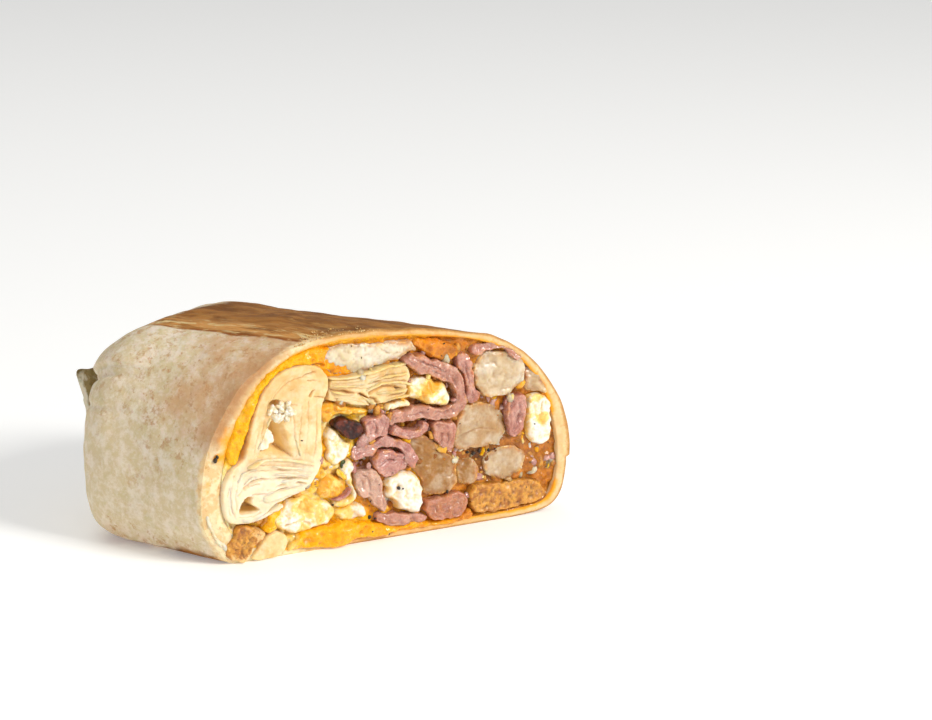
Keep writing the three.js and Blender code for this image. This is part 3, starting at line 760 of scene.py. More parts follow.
def tortillaMarks(points, run, rimStart, skinStart, rimRows):
    m = skinMarks
    x, height = points[:, 0], points[:, 2]
    acrossAt, alongAt = points @ across, points @ axis
    onRim, onSkin = slice(rimStart, skinStart), slice(skinStart, None)
    overRim = np.linspace(0, 1, rimRows), np.linspace(1.1, -0.2, rimRows)
    outwardsAt, greasy = (np.repeat(values, (skinStart - rimStart) // rimRows) for values in overRim)
    ragged = lumps(points, [(7, 1.0), (2.2, 0.5)], 31)
    patchy = lumps(points, [(15, 1.0), (6, 0.7), (2.4, 0.4)], 37)
    top = smooth(acrossAt + ragged * 0.5, *m["toastAcross"]) * smooth(height + patchy * 1.5, *m["toastUp"])
    top *= smooth(alongAt + patchy * 5, *m["toastBack"])
    top = np.maximum(top, m["toastPatch"] * smooth(patchy, 0.75, 1.5) * smooth(height, 8, 16))
    upperLeft = smooth(height, *m["upperLeft"][0]) * smooth(x, *m["upperLeft"][1])
    browning = smooth(x, *m["rimBrownFrom"])
    soak, rim, brown, tanned = np.zeros((4, len(points)))
    soak[onRim] = greasy
    soak *= smooth(height, 21, 26) + smooth(x, 4, 9) * smooth(height, 12, 6)
    for spot in m["soakSpots"]:
        soak[:skinStart] += 0.75 * spotAt(points, *spot)[:skinStart]
    brown[onRim] = smooth(outwardsAt, 0.35, 1) * browning[onRim]
    brown[onSkin] = browning[onSkin]
    # Painted shade on the upper left of the rim, and on the skin just behind it.
    tanned[onRim] = smooth(outwardsAt, 0.25, 0.8) * upperLeft[onRim]
    tanned[onSkin] = (0.8 * bell(run, m["shadeFade"]) * upperLeft)[onSkin]
    rim[:skinStart] = 1
    rim[onSkin] = (np.exp(-np.maximum(run - 0.3, 0) / m["rimFade"]) * (1 - upperLeft))[onSkin]
    warm = 0.1 + 0.35 * smooth(height, 22, 44) + 0.75 * bell(run, m["warmFade"]) * smooth(height, 12, 40)
    warm += 0.5 * smooth(height, 10, 2) + 0.3 * smooth(patchy, -0.3, 1.2)
    middle, width = m["creaseAcross"]
    crease = bell(acrossAt - middle, width) * smooth(height, 40, 44)
    middle, width = m["lineAcross"]
    line = bell(acrossAt + ragged * 0.5 - middle, width) * smooth(height, 42, 45)
    under = smooth(height - ragged * 1.6, *m["toastUnder"]) * 0.85
    oily = smooth(x, 14, 26) * (1 - 0.6 * smooth(x, 50, 80))
    return {"toast": np.maximum(top, under), "rim": rim, "crease": crease, "line": line, "brown": brown,
            "warm": np.clip(warm, 0, 1), "oily": oily, "soak": soak, "tanned": tanned}


def tortillaWrap():
    outer, run = shapedSkin(np.array(rollRings(0, roll["bodyRings"], roll["capRings"], 0.012)))
    inner = rollRings(1, roll["innerRings"], roll["innerRings"], 0.03)[::-1]
    rim = rimRings(inner[-1].copy(), outer[0].copy())
    grid = np.array(inner + rim + list(outer))
    rings, count, _ = grid.shape
    points = np.vstack([grid.reshape(-1, 3), [grid[0].mean(0)], [grid[-1].mean(0)]])
    rows = rowsOf(0, count, rings)
    innerHub, outerHub = rings * count, rings * count + 1
    faces = rowFaces(rows) + [(innerHub, i, (i + 1) % count) for i in range(count)]
    faces += hubFaces(outerHub, rows[-1])
    rimStart, skinStart = len(inner) * count, (len(inner) + len(rim)) * count
    run = np.concatenate([np.zeros(skinStart), run.ravel(), [farBack] * 2])
    marks = tortillaMarks(points, run, rimStart, skinStart, len(rim))
    return makeMesh("tortillaWrap", points, faces, skin, marks)


handIn(tortillaWrap(), "tortilla_wrap")

ear = {
    "outline": [(-9, 16), (-3, 16.6), (3, 17.5), (6.6, 21.5), (9, 27.5), (11.3, 32.4), (6.5, 34), (2, 35.4),
                (-9, 36.4)],
    "across": 19.4, "thickness": 1.5, "curl": -1.8, "spacing": 0.55,
}


def tortillaEar():
    # Loose corner of the tortilla that sticks out of the closed end.
    loop = anticlockwise(curveThrough(ear["outline"], 0.5))
    flat, away, faces = filledLoop(loop, ear["spacing"], 3)
    count, rest = len(loop), len(flat) - len(loop)
    spots = np.column_stack([flat, np.zeros(len(flat))])
    bend = ear["curl"] * smooth(flat[:, 0], -2, 11) ** 2 * (0.4 + smooth(flat[:, 1], 18, 34))
    bend = bend + 0.5 * noise(spots, 6, 8)
    half = ear["thickness"] / 2 * np.sqrt(1 - (1 - np.clip(away / 0.7, 0, 1)) ** 2)
    sides = []
    for side in (1, -1):
        where = np.outer(flat[:, 0] + lengthAt(0), axis)
        where += np.outer(ear["across"] + side * half - bend, across)
        where[:, 2] = flat[:, 1]
        sides.append(where)
    points = np.vstack([sides[0], sides[1][count:]])
    other = [i if i < count else i + rest for i in range(len(flat))]
    triangles = [face[::-1] for face in faces] + [tuple(other[i] for i in face) for face in faces]
    pale = smooth(away, 4.2, 0.2) * smooth(flat[:, 1], 34, 29) + smooth(flat[:, 1], 26, 20)
    pale = np.concatenate([pale, pale[count:]])
    # The corner gets the darker skin of painted shade, paler near its lower edges and over its lower part.
    return makeMesh("tortillaEar", points, triangles, shadedCorner, {"pale": np.clip(pale, 0, 1)})


handIn(tortillaEar(), "tortilla_wrap")
flapStyle = {"spacing": 0.22, "edge": 0.8, "power": 2, "sink": 0.8, "crown": 0.1,
             "wobble": [(1.6, 0.3), (0.7, 0.15)], "bumps": [(2.4, 0.3), (0.9, 0.2)]}


def tornFlap():
    # Pale ridge where the outer layer has torn at the lower left edge.
    loop = pieceLoop([(-8, 12.4), (-6.8, 8.8), (-5.2, 6), (-3.4, 3.8)], flapStyle, 1.2, 400)
    groove = ([(-8, 12), (-6.4, 8), (-4, 4)], 0.2, 0.4)
    points, faces, marks = reliefMesh(loop, flapStyle, 0.7, 2, 400, [groove])
    marks["white"] = np.full(len(points), 0.45)
    return makeMesh("tornFlap", points, faces, dough, marks)


handIn(tornFlap(), "tortilla_wrap")
print("tortilla rolled")

# Folded dough: [node, millimetres it stands out, outline, grooves, pits]. A groove is [line, half width,
# depth] and a pit [outline, width of its sides, depth].
foldBodies = {
    "foldLeft": ("tortilla_fold_left", 1.1, [(-1.6, 9.7), (3, 9.5), (6, 10.8), (9, 12.9), (13, 14.2),
        (17, 16), (20, 19.4), (20.9, 24), (20.8, 30), (21.2, 35), (22.5, 38.6), (22.4, 42), (19.6, 44.6),
        (15, 45.2), (10.6, 44), (7.4, 41.6), (5, 37.8), (3.2, 33), (1.9, 28), (1, 25), (-0.4, 23.8),
        (-2, 22.6), (-4.1, 19.4), (-4.5, 15.4), (-3.7, 11.4)], [([(4.6, 27), (6.4, 33.5), (8.8, 38.6),
        (12.5, 41.6), (17, 42.2), (20, 40)], 0.14, 0.4), ([(3.6, 26.4), (5.2, 32), (7.6, 38), (11.4, 42),
        (14.4, 43)], 0.12, 0.25), ([(11, 37.3), (12.6, 36.4), (14.4, 36)], 0.16, 0.5), ([(16, 42.4),
        (17.6, 43), (19.2, 43.2)], 0.18, 0.9), ([(17.2, 41.4), (18.6, 41.3), (20.4, 40.8)], 0.14, 0.6),
        ([(13, 39.6), (15.6, 40.2), (18, 39.6)], 0.12, 0.35), ([(17.8, 37.8), (18.8, 38.9), (19.9, 38.9),
        (20.9, 38.4)], 0.2, 1.2), ([(18.9, 37.4), (21, 36.9), (22.4, 36.6)], 0.16, 0.8), ([(19.3, 37),
        (19.4, 31), (19, 25.4), (17.9, 21)], 0.14, 0.35), ([(17.2, 36.6), (17.2, 31), (16.8, 26),
        (16, 22.4)], 0.12, 0.25), ([(15.6, 35.6), (15.4, 31), (15, 26.6), (14.9, 24)], 0.14, 0.35),
        ([(13.6, 34), (13.8, 30.6), (14, 27)], 0.12, 0.3), ([(17.6, 24), (15.4, 24.6), (14, 23.6)], 0.12,
        0.35), ([(0.4, 21.4), (3.4, 22.8), (8, 22.6), (13, 21.6), (18.4, 20.6)], 0.15, 0.6), ([(-0.6, 20),
        (2.6, 21.5), (8, 21.4), (13, 20.4), (18, 19.4)], 0.15, 0.6), ([(1, 18), (4.4, 19.5), (9.6, 19.1),
        (14, 18.5), (16.6, 18)], 0.3, 1.7), ([(-0.8, 16.6), (1.4, 18.2), (4.6, 18.6)], 0.18, 0.8),
        ([(6.8, 16.7), (9.6, 17.3), (13.6, 17.5), (16.4, 17)], 0.26, 1.6), ([(3, 16.3), (7, 16),
        (12, 16.6)], 0.2, 1), ([(4.6, 14.4), (8.4, 14.8), (12.6, 15.6)], 0.16, 0.6), ([(-1.6, 21.2),
        (-2.4, 17.4), (-2.2, 13.4), (-1.2, 11)], 0.16, 0.6), ([(-0.6, 19.6), (-1.2, 16.4), (-1.1, 13.4)],
        0.14, 0.5), ([(-2.6, 19.6), (-3.2, 16), (-2.8, 12.4)], 0.14, 0.5), ([(-0.4, 11.4), (2.4, 11),
        (5, 11.6)], 0.16, 0.6)], [([(6.2, 31), (7.4, 33.2), (9.8, 33.6), (11.6, 31), (12.4, 27.6),
        (13.6, 23.6), (11, 23.9), (8, 24.6), (5, 25.1), (3, 24.6), (4.4, 26.6), (5.4, 28.8)], 2.4, 4.4),
        ([(7, 35.8), (7.6, 37.6), (9.4, 38.1), (10.4, 37.4), (9.6, 36.2), (8.4, 35.6)], 0.5, 2.2),
        ([(-0.4, 12), (-0.1, 14.2), (1.4, 15.9), (3.1, 15.7), (2.8, 14.2), (4.8, 12.4), (2.4, 11.7)], 0.6,
        5)]),
    "foldTop": ("tortilla_fold_top", 1, [(22.9, 38.6), (23.6, 40.6), (28, 40.4), (32, 40.8), (36, 42),
        (40, 42.4), (43, 41.6), (43.8, 39), (43, 37.2), (42.8, 35.2), (40.5, 33.9), (36, 33.3), (31, 33.4),
        (26, 35), (22.6, 35.9)], [([(22.4, 38.7), (26, 37.6), (30, 36.7), (32.4, 35), (33.6, 33.4)], 0.32,
        2.2), ([(33.2, 36.4), (36, 37.4), (39.4, 37), (41, 36)], 0.42, 2.4), ([(37.4, 39.7), (39.2, 39.6)],
        0.3, 1.6), ([(22.8, 39.9), (28, 39.4), (34, 39.9), (40, 40.9)], 0.14, 0.5), ([(30.8, 38.3),
        (34.6, 38.8), (39, 38.6), (43, 37.9)], 0.2, 0.9), ([(33.2, 35.4), (34.6, 34.4), (35.4, 33)], 0.3,
        1.4), ([(35, 35.7), (38, 35), (42, 35.3)], 0.16, 0.7), ([(23, 37.4), (27, 36.4), (30.4, 35.3)],
        0.12, 0.3), ([(24, 36.2), (28, 35.5), (31.6, 34.2)], 0.12, 0.3), ([(26, 39), (30, 38), (33, 37.6)],
        0.16, 0.7)], []),
}
# Small loose lumps of dough in the pocket: [outline, millimetres it stands out].
foldScraps = {
    "foldFlap": ([(4.9, 31.8), (7, 32.2), (8.5, 30), (9.2, 28), (7.9, 27.3), (7.1, 26), (5.7, 26.2),
        (4.8, 28.6)], 0.2),
    "foldCrumb": ([(6.8, 32.4), (7.4, 34.2), (9.2, 35.4), (10.4, 36.8), (12.6, 36.8), (14.3, 35.4),
        (13.4, 33.6), (11.4, 32.4), (9, 33)], 0.9),
}

# Melted cheese that fills the roll
cheeseLook = {
    "spacing": 0.38, "recess": 1.15, "underFolds": 8, "swell": 0.65,
    "bumps": [(5, 0.5), (2.4, 0.65), (1.2, 0.42), (0.7, 0.2)],
    "inset": 0.93, "backInset": 1.3,      # how far in it starts, in walls, at the cut and behind it
    "bodyRings": 18, "capRings": 12,
}
# How deep the colour is, from pale cream at 0 to dark brown at 1.3: partly the cheese's own amber, partly
# painted shade that darkens the gaps between pieces and the right side: [x, z, size, depth].
cheeseSpots = [
    (-5, 18, 2.4, 0.0), (-4.6, 12, 2.4, 0.0), (-4, 22.6, 1.6, 0.05), (-1.5, 26, 3, 0.29), (1, 34, 3, 0.29),
    (5, 40, 3.5, 0.29), (11, 45, 4, 0.3), (17, 47.4, 3, 0.36), (22, 46.5, 3, 0.52), (29, 49, 3, 0.55),
    (36, 48.6, 3, 0.5), (42, 48, 3, 0.6), (48, 46, 4, 0.65), (54, 43, 4, 0.8), (60, 41, 4, 0.7),
    (67, 44.5, 4, 0.6), (76, 39, 4, 0.65), (22, 33, 2.5, 0.12), (21.6, 28, 2, 0.2), (20.8, 23, 1.4, 0.32),
    (24, 19, 3.4, 0.15), (19.4, 17.4, 1.6, 0.3), (27, 16, 3, 0.16), (22, 12, 3, 0.17),
    (28.4, 21.6, 2, 0.16), (28, 25.6, 2, 0.2), (15, 14.6, 2, 0.14), (8.6, 11, 2.6, 0.28), (6.6, 7, 2, 0.3),
    (12, 4.4, 2.4, 0.15), (18, 3.4, 3, 0.32), (24, 3, 3, 0.36), (30, 4.5, 3, 0.34), (36, 3.4, 3, 0.38),
    (44, 2.6, 3.5, 0.44), (52, 2.4, 3, 0.55), (59, 3.4, 3, 0.75), (29, 23.6, 2, 0.3), (31.2, 20, 2, 1.0),
    (33, 14, 2.4, 0.8), (28, 10, 2.4, 0.35), (34, 8.6, 2.4, 0.6), (40, 5.6, 2.4, 0.65),
    (38.4, 9, 1.4, 1.1), (46, 6, 2, 0.9), (36.6, 24, 2, 1.0), (42.6, 25, 2.4, 1.05), (47, 27.6, 2.4, 0.95),
    (49, 24, 2, 1.05), (46.6, 31.6, 2, 1.1), (42, 34.4, 2, 0.3), (55, 32.6, 2, 1.15), (57, 29, 2.6, 0.95),
    (57, 18, 2.6, 0.95), (59, 9.6, 2.6, 0.8), (63, 16.8, 3, 1.1), (64, 30.4, 3, 0.85), (70, 20, 2.6, 0.95),
    (74, 31, 3, 0.8), (73, 9.8, 2.6, 0.85), (77, 14, 3, 0.9), (83, 12, 3, 0.85), (83, 26, 3, 0.7),
    (80, 38, 3, 0.6),
]
# Places that stand out or lie back: [x, z, size, millimetres forward].
cheeseSwells = [
    (-2.4, 25.4, 2.4, 2.1), (-1, 29, 2.6, 2.1), (0.8, 33, 2.6, 2.1), (3, 37, 2.6, 2), (6.2, 41, 2.8, 2),
    (10, 44.3, 2.8, 1.9), (14.6, 46.4, 2.8, 1.8), (20, 46.8, 3, 1.5), (26, 49.4, 2, 1.4),
    (33, 49.4, 3, 1.3), (40, 48, 3, 1.2), (48, 46, 3.4, 1.2), (24.5, 2.6, 2.6, 2.6), (19, 2.8, 3, 2.8),
    (14, 3, 2.6, 2), (31, 3, 3.4, 2.8), (38, 2.6, 3.6, 2.6), (46, 2, 3.6, 2), (54, 2, 3, 1.4),
    (23, 19, 3, 1.2), (28, 23, 2, 1), (8, 8, 3, 1.6), (18, 15, 2.6, 1.2), (22.6, 33, 2, 1),
    (22.4, 16, 3.4, 0.9), (26, 11, 3, 0.9), (-4.9, 20, 2, 1.4), (-5.4, 15.4, 2.2, 1.4),
    (-4.6, 10.6, 2.2, 1.4), (-1.4, 7.6, 2, 1), (21.8, 24, 1.6, 0.9), (30, 30, 2, 0.6),
    (43.5, 26.9, 1.3, -3), (32, 19, 1.3, -3), (49.2, 25.8, 1, -3), (38.8, 8.6, 1.1, -2),
    (44.4, 41.7, 1, -1.5), (55, 33, 1.6, -1.6), (60, 24, 1.4, -1), (75, 17, 1.8, -1),
]


def bySpots(flat, spots):
    # Blend of spot values, each strongest at its own place.
    shares = [spotAt(flat, *spot[:3]) for spot in spots]
    return sum(share * spot[3] for share, spot in zip(shares, spots)) / sum(shares, 1e-9)


def cheeseFilling():
    loop = anticlockwise(fillingLoop)
    flat, away, faces = filledLoop(loop, cheeseLook["spacing"], 5)
    count, total = len(loop), len(flat)
    spots = np.column_stack([flat, np.zeros(total)])
    forward = lumps(spots, cheeseLook["bumps"], 41) - cheeseLook["recess"]
    for x, z, size, out in cheeseSwells:
        forward += cheeseLook["swell"] * out * spotAt(flat, x, z, size)
    forward = forward * smooth(away, 0, 1.2) - 0.1
    for _, _, outline, _, _ in foldBodies.values():
        folded = curveThrough(outline, 1)
        depth = np.where(insideLoop(flat, folded), distanceTo(flat, folded), 0)
        forward -= cheeseLook["underFolds"] * smooth(depth, 0.2, 1.6)
    front = np.column_stack([flat[:, 0], -forward, flat[:, 1]])
    surface.append(front)
    dents = hollowness(forward, faces)
    behind = rollRings(cheeseLook["backInset"], cheeseLook["bodyRings"], cheeseLook["capRings"], 0.12)
    points = np.vstack([front] + behind + [behind[-1].mean(0)[None, :]])
    rows = rowsOf(0, count, 1) + rowsOf(total, count, len(behind))
    faces += rowFaces(rows) + hubFaces(len(points) - 1, rows[-1])
    amber, hollow = np.full(len(points), 0.6), np.zeros(len(points))
    amber[:total], hollow[:total] = bySpots(flat, cheeseSpots), dents
    marks = {"amber": amber, "hollow": hollow, "patchy": np.ones(len(points))}
    return makeMesh("meltedCheese", points, faces, cheese, marks)


surface = []        # points of everything that shows at the cut, for small bits to lie on
fillingLoop = rollRing(0, lengthAt, cheeseLook["inset"])[:, [0, 2]]
handIn(cheeseFilling(), "melted_cheese")
print("cheese melted")


# Pieces of filling
styles = {
    "egg": {"spacing": 0.22, "edge": 1.3, "power": 2, "sink": 1.5, "crown": 0.15, "most": 1.1, "tilt": 0.08,
            "wobble": [(2.6, 0.5), (1.2, 0.35), (0.6, 0.12)], "bumps": [(2.4, 0.6), (1.1, 0.5), (0.55, 0.2)],
            "creases": [(2.6, 0.5)]},
    "yolk": {"spacing": 0.22, "edge": 1.2, "power": 2, "sink": 1.5, "crown": 0, "most": 1, "tilt": 0.08,
             "wobble": [(2.4, 0.55), (1.1, 0.35), (0.6, 0.12)], "bumps": [(2, 0.6), (1, 0.5), (0.5, 0.2)]},
    "ham": {"spacing": 0.22, "edge": 0.5, "sink": 1.7, "crown": 0.1, "most": 1.15, "tilt": 0.12,
            "wobble": [(2.4, 0.4), (1.1, 0.26), (0.6, 0.1)], "bumps": [(2.2, 0.5), (1.1, 0.3), (0.5, 0.12)],
            "creases": [(4.2, 0.25)]},
    "potato": {"angular": True, "facets": 4, "tilt": 0.1, "spacing": 0.26, "edge": 0.4, "sink": 1.6,
               "crown": 0.1, "most": 0.9, "wobble": [(3, 0.4), (1.2, 0.25), (0.6, 0.08)],
               "bumps": [(4, 0.4), (1.5, 0.24), (0.6, 0.12)]},
    "layers": {"spacing": 0.28, "edge": 0.6, "sink": 1.6, "crown": 0.2, "most": 0.6,
               "wobble": [(2, 0.2), (0.8, 0.1)], "bumps": [(2, 0.25), (0.8, 0.12)]},
    "browned": {"spacing": 0.25, "edge": 0.6, "power": 2, "sink": 1.6, "crown": 0, "most": 0.7,
                "wobble": [(1.6, 0.4), (0.7, 0.2)], "bumps": [(2, 0.5), (0.9, 0.38), (0.5, 0.18)]},
    "charred": {"spacing": 0.22, "edge": 0.5, "sink": 1.6, "crown": 0.1, "most": 0.5,
                "wobble": [(1.4, 0.3)], "bumps": [(1.6, 0.5), (0.7, 0.2)]},
}
finishes = {"egg": egg, "yolk": egg, "ham": ham, "potato": potato, "layers": dough, "browned": browned,
            "charred": charred}
proud = 0.6           # share of the listed rises that is used
endMargin = 24        # long fillings stop this far from the closed end
chunkDepth = 17       # depth of a diced chunk
sideReach = 18        # depth of a long filling whose middle lies past sideStart, beside the far wall
sideStart = 62


# One row for each piece that shows: [kind, millimetres it stands out, outline, depth or None for long].
blobs = {
    "egg_white_center": ("egg", 2.6, [(38.2, 14.2), (40.2, 15.2), (42, 16.3), (44, 15.6), (45.6, 13.6),
        (46.8, 10.8), (46.6, 7.4), (44.2, 5.9), (41.6, 6.6), (40, 8.6), (37.2, 10.4), (38.2, 12.4)], None),
    "ham_lobe": ("ham", 2.2, [(34.6, 19.8), (35.6, 21.4), (38, 21.7), (41, 20.7), (43, 18.6), (42.4, 17.1),
        (40.4, 16.3), (38.6, 15.4), (36.4, 16.6), (35, 18)], None),
    "ham_left_lobe": ("ham", 3, [(31.6, 27.4), (32, 29.9), (34.5, 30.5), (37.3, 29.7), (38.2, 28),
        (37.7, 26), (35.6, 25.6), (34.2, 24.6), (32.6, 24.9)], None),
    "ham_right": ("ham", 1.4, [(50, 26.4), (52, 26.2), (55, 25.6), (55.8, 22.6), (55, 20.2), (53.4, 20),
        (51.4, 21.4), (50.3, 23.6)], None),
    "ham_small": ("ham", 1.6, [(30, 17.2), (33.6, 17.6), (35.4, 15.6), (35.6, 13), (36.8, 10.5), (37.5, 8),
        (36.5, 7), (34.9, 9.4), (33.8, 11.7), (31.6, 11.8), (30.4, 13.2), (29.5, 15.5)], None),
    "ham_bottom": ("ham", 2.2, [(47.7, 7.8), (51, 8.1), (56, 7.8), (58.8, 6.6), (58, 4.4), (56.4, 3),
        (52.4, 3), (49.8, 4.2), (47.8, 5.6)], None),
    "egg_upper_right": ("egg", 2.2, [(44, 37.1), (47.6, 37.4), (50.5, 36.3), (53, 35.6), (54.2, 33.4),
        (53.4, 30.9), (50.3, 30.8), (47.8, 32.1), (44.8, 33.3), (43.4, 35)], None),
    "egg_white_small": ("egg", 1.5, [(37.8, 31.3), (38.6, 32.9), (41, 33.2), (43.4, 32.7), (43.6, 31.5),
        (41, 31.1)], None),
    "egg_left": ("egg", 1.8, [(21.7, 27.2), (23.4, 28.4), (25.4, 26.6), (27.5, 24.6), (27.3, 22.2),
        (25.4, 20.8), (24, 21.4), (22.7, 24)], None),
    "egg_lobe_low": ("egg", 1.6, [(24.8, 8.2), (27, 8.8), (30, 8.6), (31.8, 7.9), (30, 7.1), (27, 7.1)],
        None),
    "egg_yolk_top": ("yolk", 1.2, [(20.9, 31.4), (20.9, 34.5), (24, 34.6), (28, 33.4), (32.8, 32.3),
        (33.2, 31.2), (30.4, 31.6), (27, 32), (23.6, 31.3)], None),
    "egg_yolk_low": ("yolk", 0.6, [(20.8, 12.6), (21, 15), (22.4, 17), (25.2, 16.7), (27.2, 14.4),
        (26.8, 12.5), (25, 12), (22.6, 12)], None),
    "egg_bottom": ("egg", 1.6, [(9.2, 9.2), (11, 10.2), (13, 12.4), (16.5, 13.1), (18.5, 11.7), (22, 11.1),
        (23.4, 9.2), (22, 7.2), (19, 6.6), (16, 6), (12.8, 5.9), (10.4, 7)], None),
    "char_piece": ("charred", 2.6, [(24, 30.4), (26.4, 30.9), (28.8, 29.6), (31, 28.9), (30.9, 27.3),
        (28.2, 26.4), (25.6, 28.2)], 8.5),
    "crust_corner": ("browned", 2, [(-3.2, 3), (-2.4, 5.6), (-0.8, 7.8), (1.8, 8.6), (4.4, 7.4),
        (5.7, 5.8), (4.2, 4), (2.4, 2), (1.8, 0.7), (-0.8, 0.7)], None),
    "tortilla_corner": ("layers", 1.5, [(2.4, 0.8), (3.2, 2.2), (4.9, 3.8), (7, 5.2), (9.6, 5.6),
        (11.2, 4.5), (11.6, 2.2), (10.4, 0.9), (6.4, 0.6)], None),
    "potato_top": ("potato", 1.8, [(22.6, 47), (23, 44.5), (25, 42.1), (28, 41), (31.5, 41.4), (35, 43),
        (39, 43.4), (42, 44.2), (45.4, 45), (43.6, 46.8), (36, 47), (31, 47.8), (26, 48.4)], None),
    "potato_center": ("potato", 1, [(43.9, 21.6), (44.6, 23.2), (47.4, 23.8), (50, 22), (52.4, 19.6),
        (54.6, 17.4), (55.9, 14.4), (55.7, 11.8), (54, 9.3), (50.6, 8.7), (47.9, 9.4), (47.4, 12.4),
        (45.8, 15.6), (44.4, 17.8)], chunkDepth),
    "potato_right_upper": ("potato", 0.6, [(57.4, 27.4), (56.8, 23.6), (56.2, 20), (59, 18.8), (64, 18.4),
        (68.5, 19), (69.4, 23), (67.6, 27.4), (63, 29.2), (59.4, 29.2)], chunkDepth),
    "potato_right_lower": ("potato", 0.6, [(64.6, 15.6), (65.2, 11.8), (69.6, 10.6), (73.4, 11.7),
        (74.4, 15), (72, 17.3), (67.6, 17.1)], chunkDepth),
    "potato_low": ("potato", 0.6, [(57, 15.2), (57.6, 11.3), (60.5, 10.7), (61.6, 13.4), (60.2, 15.6)],
        chunkDepth * 0.7),
    "potato_far": ("potato", 1, [(62.6, 33.4), (61.8, 38.2), (65, 41.6), (71, 41.8), (74.2, 38.8),
        (73.6, 34.2), (70, 31.6), (65.6, 31.4)], chunkDepth),
    "potato_far_low": ("potato", 0.8, [(75.6, 31.8), (75.9, 37), (78.4, 35.6), (80.6, 31.6), (80.2, 30)],
        chunkDepth),
    "hash_brown": ("browned", 1, [(60.4, 8.4), (63.5, 9.2), (68, 8.6), (73, 8.8), (78.2, 7.6), (79.8, 4.8),
        (76, 2.9), (69, 2.5), (63, 2.8), (60.2, 5)], chunkDepth),
    "ham_far_low": ("ham", 1.4, [(71.4, 21), (74, 23.4), (74.6, 28), (72.8, 29.8), (71, 27.6), (70.6, 24)],
        None),
    "egg_far": ("egg", 1.2, [(76.7, 20.4), (75.9, 25.6), (77.2, 29.6), (80, 28.8), (81.4, 24), (81, 18.8),
        (79, 17.8)], None),
}
# The same for strips of even width: [kind, millimetres it stands out, width, middle line].
strips = {
    "ham_arch": ("ham", 1.8, 2.6, [(29.4, 22), (32.3, 22.3), (35, 23.4), (37.6, 24), (40.4, 22.9),
        (42.8, 20.8), (43.9, 18)]),
    "ham_curl_right": ("ham", 2.4, 2.4, [(43.2, 43.4), (46.5, 41.7), (50, 40), (53.5, 38.2), (56, 35.6),
        (57, 32.4), (56.6, 29.8), (54.2, 28.3), (51, 28.6), (47, 29.7), (43, 29.5), (39.2, 29.5)]),
    "ham_loop": ("ham", 2, 2.1, [(39.2, 26.9), (41.4, 25.6), (44.6, 24.8), (47.2, 25.1), (47.8, 27)]),
    "ham_strip_low": ("ham", 1.5, 1.5, [(35.6, 5.9), (38, 4.8), (41, 4.4), (44, 4.1), (47, 3.7)]),
    "egg_strand": ("egg", 1.6, 1.5, [(27.3, 19.6), (28.2, 17.4), (28.3, 14.6), (29.1, 12), (27.4, 10.7),
        (24.6, 10.6)]),
    "ham_far": ("ham", 1.4, 2, [(57.4, 41.6), (59.2, 38.4), (59.6, 34.6), (61, 31.4)]),
    "ham_far_top": ("ham", 1.2, 1.4, [(61.4, 43), (65, 43.2), (69.4, 42.4), (72.8, 39.8)]),
}
yolkShare = {"egg_upper_right": 0.2, "egg_yolk_top": 0.85, "egg_yolk_low": 0.6, "egg_bottom": 0.18,
             "egg_lobe_low": 0.1, "egg_left": 0.02, "egg_white_center": -0.2, "egg_white_small": -0.2,
             "egg_strand": 0, "egg_far": 0.1}
# Eggs with a yellow spot of their own: [x, z, size, share].
yolkSpots = {"egg_upper_right": (49.3, 35.8, 2.3, 0.75)}
# How fatty and how cheesy the slices of ham are.
hamTones = {
    "ham_bottom": (0, 0.95), "ham_strip_low": (0.1, 0.45), "ham_small": (0.4, 0.1), "ham_right": (0, 0.5),
    "ham_curl_right": (0.12, 0.45), "ham_loop": (0, 0.25), "ham_far": (0, 0.35), "ham_far_top": (0.1, 0.3),
    "ham_far_low": (0, 0.3),
}
# How much darker tan each potato is: partly its own tone, partly painted shade.
tanAndShadeShare = {"potato_center": 0.9, "potato_right_upper": 0.6, "potato_right_lower": 0.5, "potato_low": 0.75,
            "potato_far": 0.35, "potato_far_low": 0.4}
